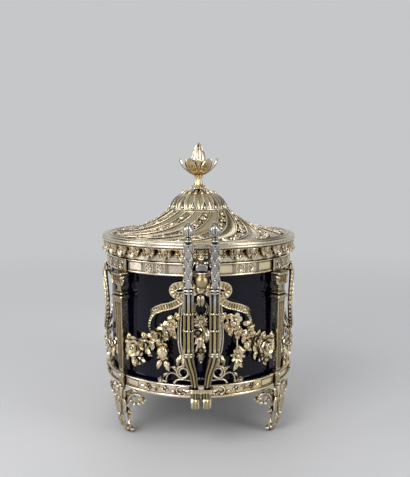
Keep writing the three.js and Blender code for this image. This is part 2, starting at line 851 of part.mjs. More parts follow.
function pendant() {
  const top = upperBandBottom - 6.1 - 3.2 - fitGap;
  const drop = (depth) => top - depth;
  const ring = ringSolid(3, 8, (row, column) => {
    const around = (column * 2 * Math.PI) / 8;
    const turn = (row * 2 * Math.PI) / 3;
    const reach = 1 + (0.75 * Math.cos(turn)) / 3.2;
    return new THREE.Vector3(
      2.9 * reach * Math.sin(around),
      drop(8.2) + 3.7 * reach * Math.cos(around),
      0.7 * Math.sin(turn),
    );
  });
  return panelPiece([
    bar(flatCurve([[0, top], [0, drop(5.6)]], 1), () => [1.3, 0.9]),
    ring,
    boss(0, drop(14.6), 3.2, 2.2, 6),
    bar(flatCurve([[0, drop(11.5)], [0, drop(20)]], 1), () => [0.9, 0.7]),
    flowerBud([0, drop(18.6)], [0, drop(32)], 2.4),
    flowerBud([0, drop(30.5)], [0, drop(38.6)], 1.6),
  ]);
}

function garland(side) {
  const foot = lowerBandTop + fitGap;
  const anchor = pilasterAngle * panelRadius - shaftTop - fitGap;
  const high = (x, drop) => [side * x, upperBandBottom - drop];
  const low = (x, rise) => [side * x, foot + rise];
  const line = [
    [13.2, 19.6],
    [16.2, 27],
    [21.5, 32],
    [28, 36.6],
    [anchor - 12.4, 41],
    [anchor - 4, 43],
    [anchor - 0.6, 42.6],
  ];
  const chain = flatCurve(line.map(([x, y]) => high(x, y)), 6);
  const parts = [bar(chain, (t) => [1.2 + 0.9 * Math.sin(Math.PI * t), 1])];
  parts.push(boss(...high(16.6, 27), 3.2, 2));
  parts.push(boss(...high(24, 33.6), 3.6, 2, 5));
  parts.push(boss(...high(anchor - 7.8, 42.6), 7, 3, 6));
  parts.push(leaf(high(anchor - 12.4, 40), high(anchor - 14.8, 46.4), 1.6));
  parts.push(leaf(high(anchor - 7.4, 43.4), high(anchor - 9, 51.6), 1.8));
  parts.push(bar(flatCurve([high(21, 31), low(20.6, 19.9)], 1), () => [0.6, 0.6]));
  parts.push(flowerBud(low(20.5, 21.9), low(21.2, 11.1), 3.4));
  parts.push(leaf(low(21.4, 13.1), low(24, 6.9), 1.5));
  parts.push(leaf(low(20.6, 13.1), low(17.4, 6.5), 1.5));
  return panelPiece(parts);
}

function scrolls(side) {
  const foot = lowerBandTop + fitGap;
  const top = upperBandBottom - 6.1 - 7.3;
  const at = (x, y) => [side * x, y];
  const lyre = [
    at(10.2, top),
    at(11.3, top - 9),
    at(11.5, foot + 26),
    at(10.6, foot + 18.5),
    at(8.8, foot + 14.5),
  ];
  const volute = [
    at(9, foot + 12.4),
    at(12, foot + 10.6),
    at(13.3, foot + 7.2),
    at(11.8, foot + 4),
    at(8.6, foot + 3.6),
    at(6.6, foot + 6),
    at(7.6, foot + 8.8),
    at(10, foot + 8.4),
  ];
  const outer = [at(12.6, foot + 5), at(15.4, foot + 6.2), at(18, foot + 4.6), at(19.6, foot + 0.2)];
  const inner = [at(11.2, foot + 3.9), at(6.4, foot + 2.2), at(3, foot + 2.4), at(fitGap, foot + 3.6)];
  return panelPiece([
    bar(flatCurve(lyre, 5), () => [0.7, 0.7]),
    bar(flatCurve([at(8.7, foot + 16.4), at(9, foot + 11.6)], 1), (t) => [2.5 - 1.5 * t, 1.1]),
    bar(flatCurve(volute, 8), (t) => [0.9 - 0.2 * t, 0.9 + 0.3 * t]),
    bar(flatCurve(outer, 3), () => [0.75, 0.8]),
    bar(flatCurve(inner, 3), () => [0.75, 0.8]),
  ]);
}

// Openwork of the two sides without handles

const wreathHalfHeight = (windowHeight - wreathDrop - wreathBar * 1.15 - sideScrollHeight) / 2;
const wreathLevel = upperBandBottom - wreathDrop - wreathHalfHeight;
const wreathBottom = lowerBandTop + sideScrollHeight;

function sideWreath() {
  const leaves = 20;
  const ring = ringSolid(3, leaves, (row, column) => {
    const around = (column * 2 * Math.PI) / leaves;
    const turn = (row * 2 * Math.PI) / 3;
    const swell = wreathBar * (column % 2 ? 1.15 : 0.75);
    const out = swell * Math.cos(turn);
    return new THREE.Vector3(
      (wreathHalfWidth + out) * Math.sin(around),
      wreathLevel + (wreathHalfHeight + out) * Math.cos(around),
      swell * Math.sin(turn),
    );
  });
  const top = wreathLevel + wreathHalfHeight;
  const parts = [ring, boss(0, top + 1, 3.4, 2.6)];
  parts.push(bar(flatCurve([[0, top], [0, upperBandBottom - fitGap]], 1), () => [1.6, 0.8]));
  for (const side of [-1, 1]) {
    parts.push(leaf([side * 1.5, top + 1], [side * 8, top + 2.6], 1.7));
  }
  return panelPiece(parts);
}

function sideGarland(side) {
  const anchor = (Math.PI / 2 - pilasterAngle) * panelRadius - shaftTop - fitGap;
  const low = wreathBottom - fitGap;
  const line = [
    [anchor - 0.6, low + 1.6],
    [anchor - 6, low - 2.2],
    [anchor - 14, low - 3.6],
    [12, low - 3],
    [fitGap / 2, low - 1.7],
  ];
  const chain = flatCurve(line.map(([x, y]) => [side * x, y]), 5);
  const parts = [bar(chain, () => [1.4, 1.1])];
  parts.push(boss(side * (anchor - 4), low - 0.6, 3.2, 2.2));
  parts.push(boss(side * (anchor - 12), low - 3.4, 4.2, 2.6, 5));
  parts.push(leaf([side * (anchor - 8), low - 3], [side * (anchor - 7.4), low - 9.4], 1.6));
  return panelPiece(parts);
}

function sideScrolls(side) {
  const foot = lowerBandTop + fitGap;
  const low = wreathBottom - fitGap;
  const head = low - 1.7 - 1.4 - fitGap;
  const line = [[fitGap, head - 0.9], [4.5, head - 2.4], [9, head - 7], [13.4, foot + 4], [13, foot + 0.1]];
  const curl = [[13, foot + 1.6], [9.6, foot + 2.6], [7.6, foot + 5.2], [9.4, foot + 7]];
  return panelPiece([
    bar(flatCurve(line.map(([x, y]) => [side * x, y]), 5), () => [0.9, 0.9]),
    bar(flatCurve(curl.map(([x, y]) => [side * x, y]), 3), () => [0.7, 0.7]),
  ]);
}

// Assembly

const bonbonniere = new THREE.Group();

function add(parent, name, geometry, material) {
  const mesh = new THREE.Mesh(geometry, material);
  mesh.name = name;
  parent.add(mesh);
  return mesh;
}

function turnedGroup(angle) {
  const group = new THREE.Group();
  group.rotation.z = angle;
  bonbonniere.add(group);
  return group;
}

function addMount() {
  add(bonbonniere, "upper_band", beadedBand(upperBandRadius, upperBandBottom, upperBandHeight), gilt);
  add(bonbonniere, "leaf_border", leafBorder(), gilt);
  add(bonbonniere, "lower_band", beadedBand(lowerBandRadius, lowerBandBottom, lowerBandHeight), gilt);
  add(bonbonniere, "liner_seat", linerSeat(), gilt);
  const corners = {
    front_left: -pilasterAngle,
    front_right: pilasterAngle,
    back_left: pilasterAngle - Math.PI,
    back_right: Math.PI - pilasterAngle,
  };
  for (const [corner, angle] of Object.entries(corners)) {
    const group = turnedGroup(angle);
    add(group, "pilaster_" + corner, pilaster(), gilt);
    add(group, "foot_" + corner, foot(), gilt);
  }
}

function addHandleSide(face, angle) {
  const group = turnedGroup(angle);
  const facing = angle === 0 ? 1 : -1;
  add(group, `handle_${face}_bridge`, handleBridge(), coolSilver);
  add(group, `handle_${face}_ball`, handleBall(), gilt);
  add(group, `handle_${face}_strap`, handleStrap(), gilt);
  add(group, `bow_${face}`, ribbonBow(), gilt);
  add(group, `pendant_${face}`, pendant(), gilt);
  for (const side of [-1, 1]) {
    const hand = side * facing < 0 ? "left" : "right";
    const rod = new THREE.Group();
    rod.rotation.x = Math.PI / 2;
    group.add(rod);
    add(rod, `handle_${face}_rod_${hand}`, handleRod(side), coolSilver);
    add(group, `handle_${face}_bud_${hand}`, handleBud(side), coolSilver);
    add(group, `garland_${face}_${hand}`, garland(side), gilt);
    add(group, `scrolls_${face}_${hand}`, scrolls(side), gilt);
  }
}

function addPlainSide(hand, angle) {
  const group = turnedGroup(angle);
  const facing = hand === "left" ? 1 : -1;
  add(group, `wreath_${hand}`, sideWreath(), gilt);
  for (const side of [-1, 1]) {
    const end = side * facing < 0 ? "back" : "front";
    add(group, `side_garland_${hand}_${end}`, sideGarland(side), gilt);
    add(group, `side_scrolls_${hand}_${end}`, sideScrolls(side), gilt);
  }
}

function addLid() {
  add(bonbonniere, "lid_rim", lidRim(), gilt);
  add(bonbonniere, "lid_bezel", lidBezel(), gilt);
  add(bonbonniere, "lid_shell", lidShell(), gilt);
  add(bonbonniere, "lid_cap", lidCap(), gilt);
  add(bonbonniere, "finial_stem", finialStem(), gilt);
  add(bonbonniere, "finial_calyx", finialCalyx(), gilt);
  add(bonbonniere, "finial_bud", finialBud(), gilt);
  add(bonbonniere, "finial_nut", finialNut(), gilt);
}

addMount();
addHandleSide("front", 0);
addHandleSide("back", Math.PI);
addPlainSide("left", -Math.PI / 2);
addPlainSide("right", Math.PI / 2);
add(bonbonniere, "liner", liner(), cobaltGlass);
addLid();

export default bonbonniere;
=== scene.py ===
# The looks of the bonbonniere: chased silver-gilt openwork, cool silver handles, a cobalt liner.
# Forms are worked out in millimetres and put into Blender in metres. The handles stand at -Y and +Y.
import math

import bpy
import numpy as np
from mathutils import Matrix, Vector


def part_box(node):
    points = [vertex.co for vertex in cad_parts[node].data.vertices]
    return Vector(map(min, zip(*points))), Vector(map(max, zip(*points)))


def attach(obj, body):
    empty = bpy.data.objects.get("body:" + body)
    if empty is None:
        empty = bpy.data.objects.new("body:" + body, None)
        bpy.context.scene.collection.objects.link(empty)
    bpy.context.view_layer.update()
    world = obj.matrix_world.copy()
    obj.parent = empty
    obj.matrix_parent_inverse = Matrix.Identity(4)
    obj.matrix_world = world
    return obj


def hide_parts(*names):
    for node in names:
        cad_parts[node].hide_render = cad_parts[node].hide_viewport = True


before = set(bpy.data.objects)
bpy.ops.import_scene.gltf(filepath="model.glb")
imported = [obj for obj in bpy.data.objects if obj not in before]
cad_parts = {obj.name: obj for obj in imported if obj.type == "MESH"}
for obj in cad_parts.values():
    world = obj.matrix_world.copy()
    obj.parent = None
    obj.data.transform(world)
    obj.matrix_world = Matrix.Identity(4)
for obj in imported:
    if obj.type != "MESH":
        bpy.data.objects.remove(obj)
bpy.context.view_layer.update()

MM = 0.001
GAP = 0.3


def sizes(node):
    """How far a CAD node reaches towards +X, its lowest level and its highest, in millimetres."""
    low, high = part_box(node)
    return high[0] / MM, low[2] / MM, high[2] / MM


# Sizes and levels that the CAD gives
BAND_RADIUS, UPPER_BOTTOM, UPPER_TOP = sizes("upper_band")
LOWER_RADIUS, LOWER_BOTTOM, LOWER_TOP = sizes("lower_band")
BORDER_RADIUS, MOUNT_TOP = sizes("leaf_border")[::2]
RIM_RADIUS, LID_BOTTOM = sizes("lid_rim")[:2]
SHELL_RADIUS = sizes("lid_shell")[0]
CAP_RADIUS, CAP_BOTTOM, CAP_TOP = sizes("lid_cap")
STEM_TOP = sizes("finial_stem")[2]
CALYX_BOTTOM = sizes("finial_calyx")[1]
BUD_BOTTOM, BUD_TOP = sizes("finial_bud")[1:]
ROD_TOP = sizes("handle_front_rod_left")[2]
BRIDGE_BOTTOM, BRIDGE_TOP = sizes("handle_front_bridge")[1:]
STRAP_BOTTOM, STRAP_TOP = sizes("handle_front_strap")[1:]
LINER_RADIUS, LINER_BOTTOM = sizes("liner")[:2]
WREATH_LOW = sizes("wreath_left")[1]

# Sizes that the CAD's boxes don't give by themselves
PANEL = BAND_RADIUS + 0.4
FOOT_TOP = LOWER_BOTTOM - GAP
BAND_WALL = 1.8
BAND_SUNK = 0.55
HANDLE_REACH = 75.0
ROD_SPACING = 6.7
ROD_HALF = 3.1
ROD_BEND = ROD_TOP - 59.9
FOOT_SPACING = 3.1
BARREL_RADIUS = 4.5
BARREL_SEAT = LOWER_RADIUS + GAP + BARREL_RADIUS
PILASTER_ANGLE = math.radians(50)
PILASTER_GAP = 3.9
FLUTES = 24
LEAVES = 36
TWIST = math.radians(-62)


# Numbers


def smooth(low, high, x):
    t = np.clip((x - low) / (high - low), 0, 1)
    return t * t * (3 - 2 * t)


def hump(x, middle, half):
    return np.exp(-(((x - middle) / half) ** 2))


def spline(knots, steps):
    """A smooth row of points through the knots of a flat drawing, or of space."""
    k = np.array([list(p) + [0] * (3 - len(p)) for p in knots], float)
    k = np.vstack([2 * k[0] - k[1], k, 2 * k[-1] - k[-2]])
    last = len(k) - 3
    t = np.linspace(0, last, steps + 1)
    i = np.minimum(t.astype(int), last - 1)
    f = (t - i)[:, None]
    a, b, c, d = k[i], k[i + 1], k[i + 2], k[i + 3]
    return 0.5 * (2 * b + (c - a) * f + (2 * a - 5 * b + 4 * c - d) * f**2 + (3 * b - a - 3 * c + d) * f**3)


def unit(v):
    return v / np.maximum(np.linalg.norm(v, axis=-1, keepdims=True), 1e-9)


def full_turn(columns):
    return np.linspace(0, 2 * math.pi, columns, endpoint=False)


def arc(x, y, radius, start, end, steps):
    """Points of a round moulding about (x, y), with its angles in degrees."""
    turn = np.radians(np.linspace(start, end, steps + 1))
    return [(x + radius * math.cos(a), y + radius * math.sin(a)) for a in turn]


def spiral(x, y, outer, inner, start, turns, steps):
    """A flat scroll that winds inwards, from an angle in degrees; turns are clockwise when negative."""
    t = np.linspace(0, 1, steps + 1)
    turn = math.radians(start) + 2 * math.pi * turns * t
    reach = outer + (inner - outer) * t
    return np.stack([x + reach * np.cos(turn), y + reach * np.sin(turn), 0 * t], 1)


# Closed surfaces. A form is a list of (points, quads, triangles), each of them one closed surface.


def loft(rings, closed=False, start=None, end=None):
    """A closed surface through rows of points. Open rows end in fans round start and end."""
    rows, columns = rings.shape[:2]
    index = np.arange(rows * columns).reshape(rows, columns)
    below = index if closed else index[:-1]
    above = np.roll(index, -1, 0) if closed else index[1:]
    quads = np.stack([below, np.roll(below, -1, 1), np.roll(above, -1, 1), above], -1).reshape(-1, 4)
    points = rings.reshape(-1, 3)
    if closed:
        return points, quads, np.zeros((0, 3), int)
    first = rings[0].mean(0) if start is None else np.array(start, float)
    last = rings[-1].mean(0) if end is None else np.array(end, float)
    count = len(points)
    low, high = index[0], index[-1]
    under = np.stack([np.roll(low, -1), low, np.full(columns, count)], -1)
    over = np.stack([high, np.roll(high, -1), np.full(columns, count + 1)], -1)
    return np.vstack([points, first, last]), quads, np.vstack([under, over])


def revolve(profile, columns, relief=None):
    """A turned form. Its profile of radius and height runs from axis to axis, or closes on itself.
    relief(turn, row) lifts the surface along the profile's normal."""
    profile = np.array(profile, float)
    poles = profile[0][0] < 1e-6
    body = profile[1:-1] if poles else profile
    turn = full_turn(columns)[None, :]
    radius, height = body[:, :1] + 0 * turn, body[:, 1:] + 0 * turn
    if relief is not None:
        tangent = unit(np.gradient(profile, axis=0)[1:-1])
        lift = relief(turn, np.arange(len(body))[:, None])
        radius = radius + lift * tangent[:, 1:]
        height = height - lift * tangent[:, :1]
    rings = np.stack([radius * np.sin(turn), -radius * np.cos(turn), height], -1)
    if poles:
        return [loft(rings, start=(0, 0, profile[0][1]), end=(0, 0, profile[-1][1]))]
    return [loft(rings, closed=True)]


def ball(middle, radius, around, rows):
    profile = [(radius * math.sin(a), -radius * math.cos(a)) for a in np.linspace(0, math.pi, rows)]
    profile[0], profile[-1] = (0, -radius), (0, radius)
    return shifted(revolve(profile, around), *middle)


def even_section(half):
    """The section of a bar, from its right half read upwards."""
    return np.array(half + [(-x, y) for x, y in half[::-1]], float)


CIRCLE = np.array([(math.cos(a), math.sin(a)) for a in np.arange(10) * math.pi / 5])
RIDGED = even_section([(1, -0.8), (0.9, 0), (0.45, 0.45), (0.25, 0.9)])
FLANGED = even_section([(1, -1), (1, 0.8), (0.75, 1), (0.55, 0.4)])


def sweep(line, size, section=CIRCLE, lateral=(0, 0, 1), closed=False):
    """A bar along a row of points. size is its half width and its half depth, or gives both for a place t."""
    along = np.roll(line, -1, 0) - np.roll(line, 1, 0) if closed else np.gradient(line, axis=0)
    lateral = np.broadcast_to(np.array(lateral, float), line.shape)
    across = unit(np.cross(along, lateral))
    width, depth = size(np.linspace(0, 1, len(line))[:, None]) if callable(size) else size
    reach = (section[:, 0] * width + 0 * line[:, :1])[..., None] * across[:, None]
    rise = (section[:, 1] * depth + 0 * line[:, :1])[..., None] * lateral[:, None]
    return loft(line[:, None] + reach + rise, closed=closed)


def blade(line, half, lift, across=None, thick=0.5, columns=4):
    """A leaf, petal or ribbon along a centre line. half(u) is its half width, lift(u, v) its rise."""
    along = unit(np.gradient(line, axis=0))
    across = unit(np.cross((0, 0, 1), along)) if across is None else np.broadcast_to(across, line.shape)
    normal = unit(np.cross(along, across))
    u = np.linspace(0, 1, len(line))[:, None]
    v = np.linspace(-1, 1, 2 * columns + 1)[None, :]
    side = (half(u) * v)[..., None] * across[:, None]
    top = line[:, None] + side + (lift(u, v) + 0 * u * v)[..., None] * normal[:, None]
    under = line[:, None] + side * 0.94 + (lift(u, v * 0.94) - thick + 0 * u * v)[..., None] * normal[:, None]
    return loft(np.concatenate([top, under[:, ::-1]], 1))


def moved(form, change):
    return [(change(points), quads, tris) for points, quads, tris in form]


def mirrored(form, side=-1):
    return moved(form, lambda p: p * (side, 1, 1))


def both(form):
    """A form and its mirror image."""
    return form + mirrored(form)


def shifted(form, x, y, z=0.0):
    return moved(form, lambda p: p + (x, y, z))


def turned(form, angle):
    c, s = math.cos(angle), math.sin(angle)
    return moved(form, lambda p: p @ np.array([[c, s, 0], [-s, c, 0], [0, 0, 1]]))


def wrapped(form):
    """Bends a flat drawing (round the box, height, out) onto the openwork's cylinder."""

    def bend(p):
        turn, reach = p[:, 0] / PANEL, PANEL + p[:, 2]
        return np.stack([reach * np.sin(turn), -reach * np.cos(turn), p[:, 1]], 1)

    return moved(form, bend)


def several(make, *rows, **settings):
    """One surface for each row of sizes."""
    return [make(*row, **settings) for row in rows]


# Ornament, drawn flat


def dome(x, y, radius, height, level, around=14, lobes=0, deep=0.12, tall=1.0):
    """A bead or boss that faces out; tall makes it oval."""
    turn = full_turn(around)
    reach = radius * (1 + deep * np.cos(lobes * turn) if lobes else 1 + 0 * turn)
    rings = []
    for a in np.radians([-35, 0, 25, 48, 70]):
        across, up = reach * np.cos(turn) * math.cos(a), reach * np.sin(turn) * math.cos(a) * tall
        rings.append(np.stack([x + across, y + up, 0 * turn + level + height * math.sin(a)], -1))
    return loft(np.array(rings), start=(x, y, level - height * 0.6), end=(x, y, level + height))


def veined(rise, curl, veins):
    """The lift of a leaf: a crown, a raised midrib, side veins and a curling tip."""

    def lift(u, v):
        crown = rise * np.sin(math.pi * u * 0.85) * (1 - 0.6 * v**2)
        furrow = 0.1 * np.cos(2 * math.pi * (veins * u - 0.9 * np.abs(v))) * smooth(0.1, 0.3, np.abs(v))
        return crown + 0.25 * hump(v, 0, 0.16) + furrow * (rise + 0.5) - curl * u**4 * np.abs(v)

    return lift


def leaf(start, end, half, rise, level, curl=0.3, veins=4, bend=0.0, tip=0.4, thick=0.5):
    """A veined and toothed leaf from its stalk to its tip."""
    start, end = np.array(start, float), np.array(end, float)
    along = end - start
    side = np.array([-along[1], along[0]])
    u = np.linspace(0, 1, 15)[:, None]
    flat = start + along * u + side * bend * np.sin(math.pi * u)
    line = np.hstack([flat, level + tip * u**2])

    def width(t):
        swell = np.sin(math.pi * (0.05 + 0.92 * t) ** 0.85) ** 0.75
        return half * swell * (1 - 0.14 * (1 - (t * veins) % 1))

    return blade(line, width, veined(rise, curl, veins), thick=thick)


def petals(x, y, reach, count, half, level, cup, turn=0.0, inner=0.12, lip=0.3, tall=1.0, thick=0.45):
    """A ring of rounded petals about a point; cup is how far their ends rise."""
    made = []
    u = np.linspace(0, 1, 8)[:, None]
    width = lambda t: half * np.sin(math.pi * (0.14 + 0.76 * t)) ** 0.6
    lift = lambda t, v: lip * (v**2 * 0.8 - 0.9 * t**4) + 0.12 * half * hump(v, 0, 0.3)
    for angle in turn + full_turn(count):
        away = np.array([math.cos(angle), math.sin(angle) * tall])
        flat = (x, y) + away * reach * (inner + (1 - inner) * u)
        line = np.hstack([flat, level + cup * u**1.6])
        made.append(blade(line, width, lift, thick=thick, columns=3))
    return made


def daisy(x, y, radius, count, level, heart=0.3):
    """An open flower with a beaded heart."""
    made = petals(x, y, radius, count, radius * 2.1 / count, level + 0.3, 0.5)
    made.append(dome(x, y, radius * heart, 0.9, level + 0.5))
    reach = radius * heart * 0.62
    for angle in full_turn(6):
        bead = x + reach * math.cos(angle), y + reach * math.sin(angle)
        made.append(dome(*bead, reach * 0.45, 0.35, level + 1.1, 8))
    return made


def rose(x, y, radius, level, turn=0.0):
    """An open rose: broad outer petals, a cup of inner ones and a rolled heart."""
    made = petals(x, y, radius, 5, radius * 0.56, level, 0.8, turn, 0.25, 0.45, thick=0.7)
    made += petals(x, y, radius * 0.7, 4, radius * 0.46, level + 0.8, 1.3, turn + 0.6, 0.25, 0.5, thick=0.6)
    made.append(dome(x, y, radius * 0.4, 1.9, level + 1.0, 16, lobes=3, deep=0.1))
    curl = spiral(x, y, radius * 0.36, radius * 0.06, math.degrees(turn), 1.6, 28)
    curl[:, 2] = level + 2.3 + np.linspace(0, 0.9, len(curl))
    return made + [sweep(curl, (radius * 0.05 + 0.04, 0.35))]


def pod(start, end, radius, lobes, deep, level, flat=0.8, scales=0):
    """A closed bud or berry from one point to another, lobed and, with scales, imbricated."""
    start, end = np.array(start, float), np.array(end, float)
    along = end - start
    side = unit(np.array([-along[1], along[0]]))
    turn = full_turn(20)[None, :]
    t = np.linspace(0.04, 0.97, 12)[:, None]
    reach = radius * np.sin(math.pi * t**0.8) ** 0.75 * (1 + deep * np.cos(lobes * turn))
    if scales:
        reach = reach * (1 + 0.1 * np.cos(lobes * turn + 2 * math.pi * scales * t))
    x = start[0] + along[0] * t + side[0] * reach * np.cos(turn)
    y = start[1] + along[1] * t + side[1] * reach * np.cos(turn)
    z = level + reach * np.sin(turn) * flat
    return loft(np.stack([x, y, z], -1), start=(*start, level), end=(*end, level))


def rosebud(start, end, radius):
    """A swelling bud with its sepals laid back round it."""
    start, end = np.array(start, float), np.array(end, float)
    along = end - start
    side = unit(np.array([-along[1], along[0]]))
    made = [pod(start, end, radius, 3, 0.1, 0.6)]
    for lean in (-0.75, -0.3, 0.3, 0.75):
        tip = start + along * (0.62 - 0.08 * abs(lean)) + side * radius * lean * 1.5
        root, half = start - along * 0.04, radius * 0.36
        made.append(leaf(root, tip, half, 0.5, 1.7 - abs(lean), 0.1, 3, 0.25 * lean, 0.5))
    return made


def ribbon(knots, half, ribs, steps, fade=0.0):
    """A ribbon with a raised hem along both edges and fine pleats across it."""

    def lift(u, v):
        pleats = 0.3 * np.cos(2 * math.pi * ribs * u) * (1 - smooth(0.6, 0.8, np.abs(v)))
        return 0.28 * smooth(0.66, 0.86, np.abs(v)) + pleats

    return blade(spline(knots, steps), lambda u: half * (1 - fade * u**3), lift, thick=0.9, columns=5)


def stem(knots, half, depth, steps, taper=0.0, section=CIRCLE):
    """A bar through knots that thins by its taper towards the end."""
    return sweep(spline(knots, steps), lambda t: (half * (1 - taper * t), depth * (1 - taper * t)), section)


def frame_line(x0, x1, y0, y1, level):
    """A fine raised line round a plain panel."""
    corners = np.array([(x0, y0), (x1, y0), (x1, y1), (x0, y1)], float)
    line = np.vstack([np.linspace(corners[i], corners[(i + 1) % 4], 8, endpoint=False) for i in range(4)])
    line = np.hstack([line, np.full((len(line), 1), level)])
    return sweep(line, (0.14, 0.3), closed=True)


def oval_ring(x, y, half_x, half_y, bar, level, steps=48):
    turn = full_turn(steps)
    line = np.stack([x + half_x * np.sin(turn), y + half_y * np.cos(turn), 0 * turn + level], 1)
    return sweep(line, (bar, bar), closed=True)


# Materials


class Graph:
    """The shader nodes of a material or of the world. An input is linked to a node's output, or set."""

    def __init__(self, owner):
        owner.use_nodes = True
        self.nodes, self.links = owner.node_tree.nodes, owner.node_tree.links

    def feed(self, socket, value):
        if isinstance(value, bpy.types.NodeSocket):
            self.links.new(value, socket)
        else:
            socket.default_value = value

    def add(self, kind, output, settings=(), **inputs):
        """A new node's output."""
        made = self.nodes.new("ShaderNode" + kind)
        for key, value in settings:
            setattr(made, key, value)
        for key, value in inputs.items():
            self.feed(made.inputs[key], value)
        return made.outputs[output]

    def noise(self, place, scale, detail, roughness=0.5):
        return self.add("TexNoise", "Fac", Vector=place, Scale=scale, Detail=detail, Roughness=roughness)

    def math(self, operation, a, b):
        made = self.nodes.new("ShaderNodeMath")
        made.operation = operation
        self.feed(made.inputs[0], a)
        self.feed(made.inputs[1], b)
        return made.outputs[0]

    def ramp(self, factor, *stops):
        """Takes a factor from the first two stops smoothly to the last two."""
        made = self.nodes.new("ShaderNodeMapRange")
        made.interpolation_type = "SMOOTHSTEP"
        for name, value in zip(("Value", "From Min", "From Max", "To Min", "To Max"), (factor, *stops)):
            self.feed(made.inputs[name], value)
        return made.outputs["Result"]

    def blend(self, factor, a, b):
        """Colour a where the factor is 0, and colour b where it is 1."""
        made = self.nodes.new("ShaderNodeMix")
        made.data_type = "RGBA"
        self.feed(made.inputs[0], factor)
        for socket, colour in ((made.inputs[6], a), (made.inputs[7], b)):
            self.feed(socket, colour if isinstance(colour, bpy.types.NodeSocket) else (*colour, 1.0))
        return made.outputs[2]

    def bump(self, shader, strength, distance, height):
        raised = self.add("Bump", "Normal", Strength=strength, Distance=distance, Height=height)
        self.feed(shader.inputs["Normal"], raised)


# Near-black and amber tones of the darkened recesses: patina of the hollows and painted shade.
DEEP = (0.020, 0.013, 0.007)
WORN = (0.93, 0.86, 0.71)
OLIVE = (0.68, 0.58, 0.32)
AMBER = (0.40, 0.27, 0.11)
MATTING = 1300.0
RELIEF = 0.00025


def metal(name, light, warm, third, rough, grain, bump, reach=0.0016, dark=0.42, amber=AMBER, lean=0.0,
          low=None, ground=0.0):
    """Old silver or silver gilt: cloudy tone, bright worn edges, and recesses darkened by an occlusion mask,
    which paints patina in the hollows and painted shade there alike. reach is how wide a recess still takes
    this patina and painted shade, dark how open it may be and still be black, and amber the tone of its edge.
    lean brings more of the third tone to the +X side. low is a tone that takes over towards the foot of a
    handle, and ground is how strongly the matted parts are grained."""
    material = bpy.data.materials.new(name)
    graph = Graph(material)
    shader = graph.nodes["Principled BSDF"]
    place = graph.add("TexCoord", "Object")
    cloud, wide = graph.noise(place, 75.0, 4.0), graph.noise(place, 38.0, 2.0)
    fine = graph.noise(place, grain, 5.0, 0.65)
    # Occlusion mask: it darkens the recesses with patina and painted shade, whatever the lamps do.
    hollow = graph.add("AmbientOcclusion", "AO", (("samples", 8),), Distance=reach)
    patina_and_shade = graph.math("ADD", hollow, graph.math("MULTIPLY", graph.math("SUBTRACT", fine, 0.5), 0.3))
    clear_of_patina_and_shade = graph.ramp(patina_and_shade, dark - 0.06, 0.88, 0.0, 1.0)
    edge = graph.ramp(graph.add("NewGeometry", "Pointiness"), 0.51, 0.58, 0.0, 0.9)
    tone = graph.blend(graph.ramp(cloud, 0.36, 0.64, 0.0, 1.0), warm, light)
    if lean:
        side = graph.add("SeparateXYZ", "X", Vector=place)
        wide = graph.math("ADD", wide, graph.math("MULTIPLY", side, lean))
    tone = graph.blend(graph.ramp(wide, 0.45, 0.65, 0.0, 0.8), tone, third)
    if low:
        height = graph.add("SeparateXYZ", "Z", Vector=place)
        tone = graph.blend(graph.ramp(height, 0.080, 0.090, 1.0, 0.0), tone, low)
    tone = graph.blend(edge, tone, WORN)
    tone = graph.blend(graph.ramp(patina_and_shade, 0.62, 1.0, 0.0, 1.0), amber, tone)
    # The base colour goes to DEEP where the occlusion mask is dark: patina and painted shade.
    graph.feed(shader.inputs["Base Color"], graph.blend(clear_of_patina_and_shade, DEEP, tone))
    dull = graph.math("MULTIPLY", graph.math("SUBTRACT", 1.0, clear_of_patina_and_shade), 0.25)
    sheen = graph.math("ADD", dull, graph.ramp(fine, 0.3, 0.7, rough * 0.75, rough * 1.35))
    height = fine
    if ground:
        matted = graph.add("Attribute", "Fac", (("attribute_name", "matted"),))
        cells = graph.add("TexVoronoi", "Distance", Vector=place, Scale=MATTING)
        grains = graph.math("MULTIPLY", graph.math("MULTIPLY", cells, matted), ground)
        height = graph.math("ADD", grains, fine)
        sheen = graph.math("ADD", sheen, graph.math("MULTIPLY", matted, 0.12))
    graph.feed(shader.inputs["Roughness"], sheen)
    graph.feed(shader.inputs["Metallic"], 1.0)
    graph.bump(shader, bump, RELIEF, height)
    return material


GILT = metal("gilt_openwork", (0.93, 0.81, 0.54), (0.80, 0.62, 0.34), OLIVE, 0.2, 700.0, 0.3)
# A darker copy of the same gilt: painted shade for the posts, legs, drops and lyre scrolls that stand in
# shadow.
SHADED_GILT = metal(
    "gilt_shaded", (0.61, 0.53, 0.37), (0.43, 0.35, 0.22), (0.43, 0.38, 0.24), 0.22, 700.0, 0.3, reach=0.0024
)
LEAFED = metal(
    "gilt_leaves", (0.80, 0.73, 0.58), (0.68, 0.58, 0.44), (0.64, 0.58, 0.42), 0.22, 600.0, 0.25, reach=0.0024
)
POLISHED = metal(
    "gilt_polished", (0.92, 0.82, 0.66), (0.84, 0.67, 0.56), (0.94, 0.80, 0.44), 0.16, 300.0, 0.12, lean=5.0
)
CHASED = metal(
    "gilt_chased", (0.60, 0.52, 0.36), (0.51, 0.41, 0.27), (0.48, 0.42, 0.25), 0.25, 500.0, 0.3,
    reach=0.001, dark=0.29, ground=1.2
)
GOLDEN = metal(
    "gilt_finial", (0.72, 0.61, 0.38), (0.60, 0.45, 0.23), (0.53, 0.43, 0.22), 0.2, 600.0, 0.25, reach=0.0024
)
BRONZE = metal("gilt_bronzed", (0.47, 0.38, 0.21), (0.40, 0.31, 0.16), (0.35, 0.29, 0.15), 0.36, 400.0, 0.1)
# The silver's recesses darken widest and nearest to black: patina and painted shade.
SILVER = metal(
    "cool_silver", (0.72, 0.72, 0.71), (0.27, 0.27, 0.27), (0.37, 0.37, 0.35), 0.14, 500.0, 0.25,
    reach=0.0026, dark=0.62, amber=(0.10, 0.09, 0.075), low=(0.48, 0.385, 0.175)
)


